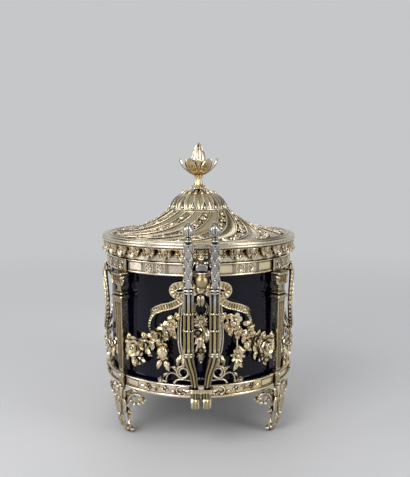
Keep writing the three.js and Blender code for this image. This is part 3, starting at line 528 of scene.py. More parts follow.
def glass():
    """Cobalt glass, nearly black, with the faint waves of blown work."""
    material = bpy.data.materials.new("cobalt_glass")
    graph = Graph(material)
    shader = graph.nodes["Principled BSDF"]
    place = graph.add("TexCoord", "Object")
    cloud = graph.noise(place, 35.0, 3.0)
    tone = graph.blend(graph.ramp(cloud, 0.3, 0.7, 0.0, 1.0), (0.001, 0.0008, 0.004), (0.002, 0.0015, 0.011))
    graph.feed(shader.inputs["Base Color"], tone)
    specks = graph.noise(place, 900.0, 2.0)
    graph.feed(shader.inputs["Roughness"], graph.ramp(specks, 0.4, 0.8, 0.03, 0.1))
    graph.bump(shader, 0.08, 0.001, cloud)
    shader.inputs["IOR"].default_value = 1.52
    shader.inputs["Specular IOR Level"].default_value = 0.22
    return material


GLASS = glass()


# Pieces


def piece(name, form, material, body, slot, *nodes, sharp=38, matted=None):
    """Makes one object of a form; it rides on a body and stands for CAD nodes."""
    points, quads, tris = [], [], []
    count = 0
    for p, q, t in form:
        faces = np.vstack([q[:, [0, 1, 2]], q[:, [0, 2, 3]], t])
        a, b, c = p[faces[:, 0]], p[faces[:, 1]], p[faces[:, 2]]
        if np.einsum("ij,ij->i", a, np.cross(b, c)).sum() < 0:
            q, t = q[:, ::-1], t[:, ::-1]
        points.append(p)
        quads.append(q + count)
        tris.append(t + count)
        count += len(p)
    points, quads, tris = np.vstack(points), np.vstack(quads), np.vstack(tris)
    corners = np.concatenate([quads.ravel(), tris.ravel()])
    starts = np.concatenate([np.arange(len(quads)) * 4, len(quads) * 4 + np.arange(len(tris)) * 3])
    mesh = bpy.data.meshes.new(name)
    mesh.vertices.add(len(points))
    mesh.vertices.foreach_set("co", (points * MM).astype(np.float32).ravel())
    mesh.loops.add(len(corners))
    mesh.loops.foreach_set("vertex_index", corners.astype(np.int32))
    mesh.polygons.add(len(starts))
    mesh.polygons.foreach_set("loop_start", starts.astype(np.int32))
    mesh.polygons.foreach_set("use_smooth", np.ones(len(starts), bool))
    mesh.update(calc_edges=True)
    mesh.validate()
    mesh.set_sharp_from_angle(angle=math.radians(sharp))
    mesh.materials.append(material)
    if matted is not None:
        values = np.zeros(len(points), np.float32)
        values[: len(matted)] = matted
        mesh.attributes.new("matted", "FLOAT", "POINT").data.foreach_set("value", values)
    made = bpy.data.objects.new(name, mesh)
    bpy.context.scene.collection.objects.link(made)
    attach(made, body)
    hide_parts(*nodes)


# Bands of the mount


def band_profile(radius, bottom, top, low_bead, high_bead):
    """A hoop with a plain sunk field between a rounded lower and upper edge."""
    inner, field = radius - BAND_WALL, radius - BAND_SUNK
    profile = [(inner, bottom)]
    profile += arc(radius - low_bead, bottom + low_bead, low_bead, -90, 70, 8)
    profile += [(field, bottom + low_bead * 2), (field, top - high_bead * 2)]
    profile += arc(radius - high_bead, top - high_bead, high_bead, -70, 90, 8)
    return profile + [(inner, top)]


def round_the_box(front, flank):
    """One flat drawing on both handle sides, another on both plain sides."""
    form = []
    for angle in (0, math.pi):
        form += turned(wrapped(front), angle) + turned(wrapped(flank), angle + math.pi / 2)
    return form


def framed_oval(x, y, level):
    made = [oval_ring(x, y, 1.75, 2.35, 0.22, level + 0.15)]
    made += petals(x, y, 1.45, 6, 0.42, level, 0.25, tall=1.35, lip=0.1, thick=0.5)
    return made + [dome(x, y, 0.45, 0.5, level + 0.1, 10)]


def upper_band():
    """The frieze band: ovals and pairs of upright bars between plain framed panels."""
    level = BAND_RADIUS - BAND_SUNK - PANEL
    low, high = UPPER_BOTTOM + 1.6, UPPER_TOP - 1.3
    side = [frame_line(9.8, 18.2, low, high, level)]
    for x in (23.2, 30.4):
        side += framed_oval(x, (UPPER_BOTTOM + UPPER_TOP) / 2, level)
    for x in (19.4, 26.8, 34.1):
        for shift in (-0.45, 0.45):
            line = [(x + shift, low - 0.2, level), (x + shift, high + 0.2, level)]
            side.append(stem(line, 0.22, 0.3, 4))
    front = both(side + [frame_line(35.2, 45.2, low, high, level)])
    flank = both(side) + [frame_line(-9.4, 9.4, low, high, level)]
    form = revolve(band_profile(BAND_RADIUS, UPPER_BOTTOM, UPPER_TOP, 0.65, 0.5), 256)
    return form + round_the_box(front, flank)


def lower_band():
    """The moulded lower band: flowers, leaves, grapes and a scroll, drawn about its middle line."""
    level = LOWER_RADIUS - BAND_SUNK - PANEL
    middle = (LOWER_BOTTOM + LOWER_TOP) / 2 + 0.3
    low, high = LOWER_BOTTOM + 2.2 - middle, LOWER_TOP - 1.6 - middle
    side = daisy(30.5, 0, 1.7, 6, level) + petals(8.6, -1.5, 1.9, 5, 0.7, level, 0.5, turn=0.3)
    for start, end, half, rise, bend in (
        ((28.4, 0.4), (24.6, 1.6), 0.8, 0.4, 0.2),
        ((28.6, -0.4), (25, -1.5), 0.8, 0.4, -0.2),
        ((32.6, 0), (36.2, -0.2), 0.9, 0.4, 0.0),
        ((22.8, 1.2), (25.2, -0.6), 0.7, 0.5, 0.3),
        ((17.2, -0.8), (13.8, -2.0), 0.8, 0.5, -0.2),
        ((10, 0.4), (5.2, 1.2), 0.9, 0.5, 0.2),
    ):
        side.append(leaf(start, end, half, rise, level, 0.1, 3, bend))
    for x, y in ((21.4, 0.2), (19.8, 1.1), (20.2, -0.8), (18.6, 0.1)):
        side.append(dome(x, y, 0.75, 0.8, level + 0.1, 10))
    side += [dome(11.4, -1.8, 0.9, 0.9, level + 0.2, 12), dome(8.6, -1.5, 0.6, 0.9, level + 0.2, 10)]
    curl = [(3.4, high + 0.5), (8, high + 0.9), (12, high + 0.2), (13.2, 0), (11.6, -1.9)]
    side.append(stem([(*p, level + 0.5) for p in curl], 0.55, 0.55, 24, 0.3))
    side.append(frame_line(37.4, 46.2, low, high, level))
    plain = [frame_line(24.5, 36.2, low, high, level)] + daisy(19.4, 0, 1.7, 6, level)
    for x in (14.4, 9.6, 4.8):
        plain.append(leaf((x, -0.8), (x + 3.4, 1), 0.8, 0.4, level, 0.1, 3, 0.2))
        plain.append(dome(x + 0.4, 1.1, 0.5, 0.6, level, 8))
    front, flank = both(side), both(plain) + daisy(0, 0, 1.9, 8, level)
    form = revolve(band_profile(LOWER_RADIUS, LOWER_BOTTOM, LOWER_TOP, 0.9, 0.55), 256)
    return form + round_the_box(shifted(front, 0, middle), shifted(flank, 0, middle))


def leaf_border():
    """A hoop of drooping acanthus tips under the lid: three lobes each, the tip turned up and out."""
    inner, wall = BAND_RADIUS - BAND_WALL, BAND_RADIUS - 1.1
    turn = full_turn(LEAVES * 28)
    a = np.abs((turn * LEAVES / (2 * math.pi) + 0.5) % 1 * 2 - 1)
    lobes = 1.5 * smooth(0.1, 0.34, a) + 1.1 * hump(a, 0.4, 0.08) + 2.7 * smooth(0.55, 1.0, a)
    bottom = UPPER_TOP + 0.9 + lobes
    belly = BORDER_RADIUS - 0.4 - 1.7 * a**1.5 - 0.5 * hump(a, 0.42, 0.08)
    midrib = 0.45 * hump(a, 0, 0.09) - 0.35 * hump(a, 0.22, 0.07) + 0.3 * hump(a, 0.55, 0.1)
    rows = [(inner, UPPER_TOP + GAP), (wall, UPPER_TOP + GAP), (wall, bottom + 1.5)]
    rows += [(wall + 0.5, bottom + 1.2), (belly - 1.0, bottom + 0.4), (belly - 0.3, bottom)]
    for u in np.linspace(0.05, 1, 16):
        curl = -0.3 * (1 - smooth(0.05, 0.2, u))
        throat = -1.5 * smooth(0.2, 0.55, u) + 0.7 * smooth(0.7, 1, u)
        rib = midrib * smooth(0, 0.3, u) * (1 - smooth(0.8, 1, u))
        gap = -1.2 * hump(a, 1, 0.14) * (1 - 0.6 * u)
        reach = belly + (curl + throat + rib + gap) * (1 - 0.2 * u)
        rows.append((reach, bottom + (MOUNT_TOP - 0.5 - bottom) * u))
    rows += [(BORDER_RADIUS - 1.1, MOUNT_TOP - 0.35), (BORDER_RADIUS - 1.3, MOUNT_TOP), (inner, MOUNT_TOP)]
    rings = [np.stack([r * np.sin(turn), -r * np.cos(turn), z + 0 * turn], -1) for r, z in rows]
    return [loft(np.array(rings), closed=True)]


# Pilasters and feet


def pilaster():
    """A fluted post that widens upwards to a baluster, a capital and a panel with an oval."""
    over_low, over_up = LOWER_RADIUS + GAP - PANEL, BAND_RADIUS + GAP - PANEL
    head, base = UPPER_BOTTOM - GAP, LOWER_TOP + GAP
    rows = []

    def at(y, half, front, rear=-0.8, grooves=0, depth=0.0):
        w = np.linspace(1, -1, 61)
        inside = np.clip((1 - np.abs(w) / 0.86) * 8, 0, 1)
        cut = depth * inside * np.abs(np.sin(math.pi * grooves * (w / 0.86 + 1) / 2)) ** 0.9
        face = front - cut - 0.35 * smooth(0.88, 1, np.abs(w))
        rows.append([(-half, y, rear), (half, y, rear)] + [(half * x, y, z) for x, z in zip(w, face)])

    def roll(y, reach, half, front, bulge):
        for turn in np.radians(np.linspace(-90, 90, 9)):
            swell = bulge * math.cos(turn)
            at(y + reach * math.sin(turn), half + swell, front + swell)

    for y, half, proud in (
        (LOWER_BOTTOM, 1.5, 0.8),
        (LOWER_BOTTOM + 0.6, 1.8, 1.1),
        (LOWER_TOP - 1.6, 1.8, 1.1),
        (LOWER_TOP - 1.5, 2.2, 1.5),
        (base - 0.1, 2.2, 1.5),
    ):
        at(y, half, over_low + proud, over_low)
    for y, half, proud in ((0, 2.2, 1.5), (0.9, 2.1, 1.4), (1.2, 1.75, 0.9), (2.6, 1.8, 0.95)):
        at(base + y, half, over_low + proud)
    for t in np.linspace(0, 1, 26):
        y = base + 3.0 + (head - 17.4 - base - 3.0) * t
        at(y, 1.82 + 1.63 * t, over_low + 1.0 + (2.85 - over_low) * t, grooves=3, depth=0.7 + 0.4 * t)
    for y, half, front in ((17.0, 3.5, 3.9), (16.6, 3.6, 4.0), (15.4, 3.6, 4.0)):
        at(head - y, half, front)
    roll(head - 14.1, 1.1, 3.9, 4.0, 1.0)
    at(head - 12.85, 3.3, 3.6)
    roll(head - 12.0, 0.7, 3.2, 3.5, 0.7)
    waist = ((11.0, 2.5, 3.2), (10.1, 1.9, 2.8), (9.0, 1.6, 2.6), (7.9, 1.8, 2.8), (7.0, 2.4, 3.2))
    for y, half, front in waist:
        at(head - y, half, front)
    roll(head - 6.3, 0.45, 3.0, 3.4, 0.5)
    at(head - 5.7, 3.8, 3.9)
    at(head - 5.4, 4.0, 4.1)
    for t in np.linspace(0, 1, 5):
        at(head - 5.0 + 3.1 * t, 4.05 + 0.25 * t, 4.2 + 0.3 * t, grooves=4, depth=1.1)
    at(head - 1.6, 4.3, 4.5)
    roll(head - 0.75, 0.7, 4.2, 4.5, 0.6)
    at(head, 4.3, 4.6)
    face, middle = over_up + 0.8, (UPPER_BOTTOM + UPPER_TOP) / 2
    for y in (head + 0.02, UPPER_TOP - 0.05):
        at(y, 3.7, face, over_up)
    form = [loft(np.array(rows, float)), frame_line(-3.2, 3.2, UPPER_BOTTOM + 0.9, UPPER_TOP - 0.9, face)]
    form += [oval_ring(0, middle, 2.1, 2.7, 0.3, face + 0.1), dome(0, middle, 0.65, 0.9, face, 10)]
    form += petals(0, middle, 1.8, 8, 0.5, face - 0.1, 0.5, tall=1.3, lip=0.1, thick=0.5)
    for y in (LOWER_TOP - 0.6, LOWER_BOTTOM + 0.9):
        form.append(dome(0, y, 1.2, 1.1, over_low + 1.3, 14))
    ear = [dome(4.4, head - 2.7, 1.1, 1.5, 3.4, 14), dome(4.4, head - 2.7, 0.5, 0.6, 4.8, 10)]
    ear.append(leaf((4.5, head - 3.2), (3.4, head - 7.4), 0.9, 0.7, 3.4, 0.1, 3, 0.12))
    return form + both(ear)


def foot():
    """A leg with a leafed ankle and a rolled toe, and an openwork scroll to each side."""
    top, crest = FOOT_TOP, FOOT_TOP - 1.3
    toe_height, toe_place, toe_half = 2.0, -2.8, 2.2
    knots = [(0, top * y, z) for y, z in ((1, 1.2), (0.8, 1.9), (0.62, 2.5), (0.38, 2.2), (0.18, 0.5))]
    knee = lambda t: 0.95 + 0.95 * hump(t, 0.38, 0.17) + 0.9 * hump(t, 0, 0.14)
    form = [sweep(spline(knots + [(0, 2.2, -2.4)], 40), lambda t: (knee(t), knee(t)), lateral=(1, 0, 0))]
    form.append(leaf((0, top * 0.4), (0, top * 0.82), 1.5, 1.2, 3.0, 0.3, 4, 0, 1.4, 0.7))
    form.append(leaf((0, top * 0.48), (0, top * 0.14), 1.2, 1.0, 3.2, 0.2, 4, 0, -2.4, 0.7))
    form += [dome(0, top * 0.44, 1.25, 1.2, 3.5, 12), dome(0, top * 0.25, 0.9, 0.9, 1.7, 12)]
    toe = []
    turn = full_turn(20)
    for x in np.linspace(-toe_half, toe_half, 9):
        reach = 2.0 - 0.35 * abs(x / toe_half) ** 3
        ring = [0 * turn + x, toe_height + reach * np.sin(turn), toe_place + reach * np.cos(turn)]
        toe.append(np.stack(ring, -1))
    form.append(loft(np.array(toe)))
    curl = spiral(toe_place, toe_height, 1.45, 0.35, 90, 1.4, 28)[:, :2]
    roll = [(toe_half, y, z) for z, y in curl]
    wing = [sweep(np.array(roll), (0.22, 0.22), lateral=(1, 0, 0))]
    wing += several(
        leaf,
        ((0.5, top * 0.4), (3.6, top * 0.8), 1.8, 1.1, 2.2, 0.4, 3, -0.12, 1.4, 0.7),
        ((0.4, top * 0.7), (2.8, top * 0.97), 1.5, 0.9, 1.4, 0.3, 3, -0.1, 0.8, 0.7),
        ((0.3, top * 0.46), (1.9, top * 0.2), 1.2, 0.9, 2.5, 0.2, 3, 0.1, -1.6, 0.7),
        ((3.0, top * 0.64), (7.6, crest + 0.9), 1.8, 1.0, 0.3, 0.4, 4, 0.2, 0.5, 0.7),
        ((6.8, crest - 2.4), (12.2, crest + 0.9), 1.6, 0.9, 0.3, 0.4, 4, 0.15, 0.5, 0.7),
        ((2.6, top * 0.58), (7.2, top * 0.5), 1.5, 0.8, 0.6, 0.4, 3, -0.25, 0.3, 0.7),
        ((4.1, top * 0.32), (6.6, top * 0.46), 1.0, 0.7, 0.4, 0.2, 3, 0.2),
        ((4.2, top * 0.34), (6.6, top * 0.24), 0.9, 0.6, 0.2, 0.2, 3, -0.2),
    )
    main = [(0.3, top * 0.5, 2.0), (3.4, top * 0.7, 0.8), (7.4, crest - 2.0, 0.1), (12.2, crest - 0.9, 0.1)]
    wing.append(stem(main + [(15.2, crest - 1.9, 0.1)], 1.1, 1.1, 30, 0.3))
    wing += daisy(15.8, crest - 2.4, 2.5, 6, 0.2, heart=0.36)
    thin = [(3.2, 2.4, -2.2), (4.2, top * 0.18, -0.8), (4.0, top * 0.36, 0.2), (4.4, top * 0.5, 0.3)]
    wing.append(stem(thin + [(6.6, top * 0.66, 0.2), (9.6, crest - 2.6, 0.1)], 0.55, 0.55, 36, 0.1))
    wing.append(dome(3.6, 2.1, 1.3, 1.3, -2.6, 12))
    for x, y, r in ((13.4, crest - 5.8, 1.25), (9.8, crest - 7.0, 1.15), (7.0, crest - 5.6, 0.95)):
        wing.append(dome(x, y, r, r * 1.2, 0.2, 12))
        wing.append(stem([(x, y, 0.1), (x - 1.0, y + 3.2, 0.1)], 0.45, 0.45, 6))
    return form + both(wing)


# Handles, in space: the front one, whose rods stand before the box


def rod_line():
    """The lower, bent part of the right rod, from its scroll to the straight part."""
    points = [
        (FOOT_SPACING, BARREL_SEAT + 2.0, LOWER_BOTTOM + 0.5),
        (FOOT_SPACING, BARREL_SEAT + 2.9, STRAP_BOTTOM + 0.9),
        (FOOT_SPACING + 1.1, BARREL_SEAT + 5, STRAP_BOTTOM + 10),
        (ROD_SPACING - 0.8, HANDLE_REACH - 3.2, ROD_BEND - 5.5),
        (ROD_SPACING, HANDLE_REACH - 0.4, ROD_BEND),
        (ROD_SPACING, HANDLE_REACH, ROD_BEND + 3),
    ]
    return np.array(points) * (1, -1, 1)


def reeded(line, half):
    """An upright bar with six broad reeds, each between two fine fillets."""
    reeds, deep = 6, 0.22
    along = unit(np.gradient(line, axis=0))
    across = unit(np.cross(along, (0, -1, 0)))
    out = unit(np.cross(across, along))
    turn = full_turn(84)
    q = np.abs((turn - math.pi / 2) * reeds / (2 * math.pi) % 1 * 2 - 1)
    crown = 0.06 * np.clip((1 - q) / 0.58, 0, 1) ** 2
    ripple = 1 - deep * hump(q, 0, 0.16) - 0.6 * deep * hump(q, 0.42, 0.09) - crown
    reach = half(np.linspace(0, 1, len(line)))[:, None] * ripple[None, :]
    rings = line[:, None] + (reach * np.cos(turn))[..., None] * across[:, None]
    return loft(rings + (reach * np.sin(turn) * 0.94)[..., None] * out[:, None])


def collar(z, half, rise):
    """A turned ring round the axis of a rod."""
    return revolve([(0.5, z - rise)] + arc(half, z, rise, -90, 90, 6) + [(0.5, z + rise)], 40)


def arcade(z):
    """A fine ring round the axis of a rod, whose line arches up over every reed."""
    reeds, half, bar, rise = 6, 2.75, 0.34, 0.9
    turn, around = full_turn(72), full_turn(8)[:, None]
    height = z + rise * np.sqrt(np.abs(np.cos(reeds * (turn - math.pi / 2) / 2)))
    reach = half + bar * np.cos(around)
    rings = np.stack([reach * np.cos(turn), reach * np.sin(turn), height + bar * np.sin(around)], -1)
    return [loft(rings, closed=True)]


def rod_leaf(angle, low, length, half, root, belly, lip, hollow):
    """A leaf laid up against the axis of a rod: a blade with a raised rim, its tip curling away."""
    u = np.linspace(0, 1, 12)
    reach = root + belly * np.sin(math.pi * u * 0.8) + lip * u**4
    away = np.array([math.cos(angle), math.sin(angle)])
    line = np.stack([reach * away[0], reach * away[1], low + length * u], 1)
    width = lambda t: half * np.sin(math.pi * (0.1 + 0.84 * t) ** 0.9) ** 0.7

    def lift(t, v):
        rim = hollow * (smooth(0.45, 0.9, np.abs(v)) - 0.6) * (1 - 0.5 * t)
        return rim + 0.22 * hump(v, 0, 0.14)

    return blade(line, width, lift, (away[1], -away[0], 0.0))


def beads(z, reach, radius, start, count, around, rows):
    """A ring of balls round the axis of a rod."""
    form = []
    for angle in start + full_turn(count):
        form += ball((reach * math.cos(angle), reach * math.sin(angle), z), radius, around, rows)
    return form


def barrel():
    """The turned roll at the foot of the right rod, with a scroll on each end."""
    half, height = 2.15, LOWER_BOTTOM + 0.5
    rings = []
    turn = full_turn(48)
    for w in np.linspace(-half, half, 9):
        reach = BARREL_RADIUS - 0.25 - 0.5 * (abs(w) / half) ** 4 + 0.25 * math.cos(math.pi * w / 0.9)
        out, up = reach * np.cos(turn) - BARREL_SEAT, reach * np.sin(turn) + height
        rings.append(np.stack([0 * turn + FOOT_SPACING + w, out, up], -1))
    form = [loft(np.array(rings))]
    for end in (-2.1, 2.1):
        flat = spiral(0, 0, BARREL_RADIUS - 0.9, 0.5, 80, 1.9, 50)[:, :2]
        line = np.array([(FOOT_SPACING + end, -BARREL_SEAT - x, height + y) for x, y in flat])
        form.append(sweep(line, lambda t: (0.42 - 0.15 * t, 0.42), lateral=(1, 0, 0)))
    return form


def handle_rod(side):
    """A reeded rod whose upper part is hidden by whorls of leaves with berries between them."""
    leafed, whorls = ROD_TOP - 26.2, 6
    pitch = (ROD_TOP - 3.4 - leafed) / whorls
    straight = np.array([(0, 0, z) for z in np.linspace(ROD_BEND + 2.6, leafed + 0.6, 44)])
    form = [reeded(straight, lambda t: 2.95 + 0 * t)]
    form += arcade(ROD_BEND + 12.6) + arcade(ROD_BEND + 21.4)
    for z, half, rise in ((ROD_BEND + 1.0, 2.5, 0.5), (leafed + 0.4, 2.5, 0.55), (leafed - 1.0, 2.75, 0.3)):
        form += collar(z, half, rise)
    form += beads(ROD_BEND - 0.2, 2.25, 0.85, math.pi * 2 / 3, 6, 12, 8)
    core = [(0, leafed), (2.1, leafed), (2.1, ROD_TOP - 3.2), (2.7, ROD_TOP - 2.6), (2.75, ROD_TOP - 2.2)]
    core += [(1.5, ROD_TOP - 1.7), (1.35, ROD_TOP - 1.2)] + arc(1.6, ROD_TOP - 0.55, 0.55, -60, 90, 5)
    form += revolve(core + [(0, ROD_TOP)], 32)
    for row in range(whorls):
        z, start = leafed + row * pitch, row % 2 * math.pi / 4
        for angle in start + full_turn(4):
            form.append(rod_leaf(angle, z, pitch * 1.4, 1.9, 1.25, 0.65, 1.1, -0.55))
        form += beads(z + pitch * 0.5, 2.2, 0.68, start + math.pi / 4, 4, 10, 7)
    bent = [reeded(spline(rod_line() * (side, 1, 1), 60), lambda t: 1.7 + 1.25 * smooth(0.05, 0.9, t))]
    return bent + mirrored(barrel(), side) + shifted(form, side * ROD_SPACING, -HANDLE_REACH)


def handle_bud(side):
    """A round flower bud held by broad sepals, with a small star on top."""
    bottom = ROD_TOP + GAP
    outline = [(1.5, 0), (1.75, 0.5), (1.1, 1.1), (1.5, 1.7), (2.5, 2.8), (2.85, 4.2), (2.6, 5.6), (1.8, 6.9)]
    outline += [(0.95, 7.7), (0.8, 8.2), (1.15, 8.8), (0.7, 9.4), (0.2, 10.0)]
    profile = [(0, 0), *spline(outline, 44)[:, :2], (0, 10.1)]
    form = revolve(profile, 48)
    for angle in math.pi / 4 + full_turn(4):
        form.append(rod_leaf(angle, 1.4, 5.2, 1.9, 1.35, 1.37, -0.35, -0.25))
        form.append(rod_leaf(angle + math.pi / 4, 2.2, 4.6, 1.1, 1.4, 1.26, -0.2, 0.3))
    for angle in 0.3 + full_turn(5):
        c, s = math.cos(angle), math.sin(angle)
        tip = [(r * c, r * s, z) for r, z in ((0.3, 8.0), (0.95, 8.5), (1.5, 9.3))]
        form.append(sweep(spline(tip, 8), lambda t: (0.42 - 0.25 * t, 0.42 - 0.25 * t), lateral=(-s, c, 0)))
    return shifted(form, side * ROD_SPACING, -HANDLE_REACH, bottom)


def handle_bridge():
    """Two arms from the band to the rods and a plain block between the rods."""
    back, front = BORDER_RADIUS + GAP, HANDLE_REACH - ROD_HALF * 0.9 - GAP
    middle = (BRIDGE_BOTTOM + BRIDGE_TOP) / 2
    seat, seat_level = BAND_RADIUS + GAP, UPPER_TOP - 0.75
    arm = [(5.2, 0.2 - back, middle), (6.6, -(back + front) / 2, middle + 0.2), (ROD_SPACING, -front, middle)]
    side = [sweep(spline(arm, 24), lambda t: (1.9 - 0.5 * np.sin(math.pi * t), 1.75), FLANGED)]
    curl = spiral(2.6, -back - 3.0, 2.3, 0.6, 180, -1.2, 30)
    side.append(sweep(curl + (0, 0, middle), (0.6, 1.5)))
    link = spline([(5.2, -seat - 0.7, seat_level), (5.2, -back - 0.6, middle - 0.6)], 8)
    side.append(sweep(link, (1.2, 0.7), lateral=(1, 0, 0)))
    cross = spline([(-6.8, -front + 1.2, middle), (0, -front - 0.6, middle), (6.8, -front + 1.2, middle)], 24)
    form = both(side) + [sweep(cross, (1.1, 1.5), FLANGED)]
    turn = full_turn(40)
    c, s = np.cos(turn), np.sin(turn)
    across, up = 3.5 * np.sign(c) * np.abs(c) ** 0.55, 1.75 * np.sign(s) * np.abs(s) ** 0.55
    block = []
    for y, share in (
        (-front + 1.6, 0.8),
        (-front + 1.2, 1),
        (-HANDLE_REACH + 0.2, 1),
        (-HANDLE_REACH - 0.4, 0.97),
        (-HANDLE_REACH - 0.8, 0.88),
        (-HANDLE_REACH - 1.05, 0.7),
        (-HANDLE_REACH - 1.2, 0.35),
    ):
        block.append(np.stack([across * share, 0 * turn + y, middle + up * share], -1))
    form.append(loft(np.array(block)))
    rail = [(x, -math.sqrt(seat**2 - x**2) - 0.75, seat_level) for x in np.linspace(-7.6, 7.6, 15)]
    return form + [sweep(np.array(rail), (0.75, 0.72))]


def handle_ball():
    """A plain ball under a flat disc."""
    top, radius = BRIDGE_BOTTOM - GAP, 4.05
    middle = top - 0.6 - radius
    profile = [(0, middle - radius - 0.05), (0.4, middle - radius)]
    profile += arc(0, middle, radius, -82, 48, 19)
    profile += [(2.6, top - 0.85), (3.1, top - 0.7), (3.3, top - 0.35), (3.1, top), (0, top)]
    return shifted(revolve(profile, 56), 0, -HANDLE_REACH + 1.1)


def handle_strap():
    """A flat band round the two rods, rounded at its corners and beaded along its edges."""
    foot_knot = rod_line()[1]
    depth, half, corner = foot_knot[1], foot_knot[0] + 2.85, 1.4
    out = 2 * 0.86 + GAP + 0.9
    corners = []
    for x, y, start in ((1, -1, -90), (1, 1, 0), (-1, 1, 90), (-1, -1, 180)):
        corners += arc(x * (half - corner), depth + y * (out - corner), corner, start, start + 90, 8)
    line = np.array([(x, y, (STRAP_BOTTOM + STRAP_TOP) / 2) for x, y in corners])
    section = [(0.4, -0.9), (0.55, -0.7), (0.3, -0.4), (0.3, 0.4), (0.55, 0.7), (0.4, 0.9)]
    return [sweep(line, (1.0, 1.0), np.array(section + [(-0.4, 0.9), (-0.4, -0.9)]), closed=True)]


# Openwork behind each handle


def bow():
    """A bow on its hanger, drawn about its knot: two pleated loops, and tails with forked and thin ends."""
    hanger = 6.1
    form = [stem([(0, 0, 0.2), (0, hanger - GAP, 0)], 1.3, 0.7, 8, section=FLANGED)]
    form.append(pod((-2.4, 0), (2.4, 0), 2.5, 8, 0.16, 0.9, 0.7))
    loop = [(0.8, 0.4, 0.6), (5, 1.9, 0.9), (9.8, 1.9, 1.5), (13.6, 0.9, 1.7), (14.9, -1.6, 1.1)]
    loop += [(13.2, -3.9, 0.4), (9, -3.8, 0.1), (5, -2.6, 0.2), (1.2, -0.6, 0.3)]
    tail = [(8.4, -3.6, 0.2), (12.0, -7.6, 1.1), (16.4, -9.9, 0.3), (20.6, -11.0, 1.1), (25.2, -13.0, 0.5)]
    thin = [(25, -13.2, 0.3), (27.2, -16.4, 0.7), (28.8, -19.4, 0.4), (29.4, -22.6, 0.2), (28.4, -25.6, 0.3)]
    wing = [ribbon(loop, 2.0, 15, 110), ribbon(tail, 2.0, 12, 78), ribbon(thin, 0.7, 8, 44, fade=0.4)]
    for fork, bend in ((1.2, -0.2), (-1.0, 0.4)):
        end = [(23.8, -12.4 + fork * 0.7, 0.5), (26.2, -13.6 + fork, 0.6), (28.4, -14.8 + fork + bend, 0.3)]
        wing.append(ribbon(end, 0.9, 3, 20, fade=0.8))
    return shifted(form + both(wing), 0, UPPER_BOTTOM - hanger)


def pendant():
    """Pods and a ribbon ring, a daisy, and a drop of leaves, roses and a bud, drawn down from the bow."""
    side = [pod((1.1, -0.2), (0.8, -6.4), 1.05, 4, 0.06, 1.1)]
    ring = [(0.7, -3.6, 0.5), (2.9, -5.2, 0.6), (3.7, -8.2, 0.5), (2.3, -10.8, 0.4), (0.1, -13.4, 0.4)]
    side.append(ribbon(ring, 0.62, 14, 50))
    side.append(leaf((0.4, -24.4), (2.9, -31.6), 1.6, 0.9, 1.0, 0.4, 4, -0.12, 0.5, 0.7))
    form = both(side) + daisy(0, -14.8, 3.9, 12, 0.3)
    form += [stem([(0, 0, 0), (0, -5.8, 0.3)], 0.8, 0.8, 8), stem([(0, -12, 0), (0, -36, 0)], 0.7, 0.6, 12)]
    form += several(
        leaf,
        ((0.8, -17.8), (2.9, -26.0), 2.3, 1.1, 1.2, 0.4, 4, 0.1, 0.7, 0.7),
        ((-0.8, -20.6), (-3.3, -27.4), 1.8, 0.9, 0.8, 0.4, 4, 0.15, 0.5, 0.7),
        ((0, -21.6), (-0.4, -29.8), 2.0, 1.0, 1.6, 0.4, 4, 0, 0.5, 0.7),
    )
    form += rose(-1.6, -20.6, 3.0, 0.6, 0.3) + rose(0, -30.2, 2.5, 0.8, 0.8)
    form.append(pod((0, -30.2), (0, -38.4), 1.75, 6, 0.1, 0.9, scales=4))
    form.append(dome(0, -36.9, 0.6, 0.6, 2.1, 10))
    return shifted(form, 0, UPPER_BOTTOM - 9.6)


def sprays(line, count, reach, half, seed, level=0.3):
    """Leaves to both sides of a stem, each a little unlike the next."""
    chance = np.random.default_rng(seed)
    made = []
    along = unit(np.gradient(line, axis=0))
    for k in range(count):
        i = int((k + 0.5) / count * (len(line) - 1))
        hand = 1 if k % 2 else -1
        lean = hand * (0.7 + 0.5 * chance.random())
        c, s = math.cos(lean), math.sin(lean)
        away = np.array([along[i][0] * c - along[i][1] * s, along[i][0] * s + along[i][1] * c])
        end = line[i][:2] + away * reach * (0.75 + 0.5 * chance.random())
        rise = level + 0.5 * chance.random()
        broad = half * (0.8 + 0.4 * chance.random())
        made.append(leaf(line[i][:2], end, broad, 0.7, rise, bend=0.15 * hand))
    return made


def garland_chain(anchor, seed):
    """The garland's stem from the bow out to the pilaster, with its small leaves."""
    knots = [(13.2, 19.6), (16.2, 27), (21.5, 32), (28, 36.6), (anchor - 12.4, 41), (anchor - 4, 43)]
    line = spline([(x, UPPER_BOTTOM - y, 0.1) for x, y in [*knots, (anchor - 0.6, 42.6)]], 48)
    form = [sweep(line, lambda t: (0.55 + 0.2 * np.sin(math.pi * t), 0.6))]
    return form + sprays(line, 20, 4.6, 1.7, seed) + sprays(line, 9, 3.0, 1.2, seed + 1, 1.1)


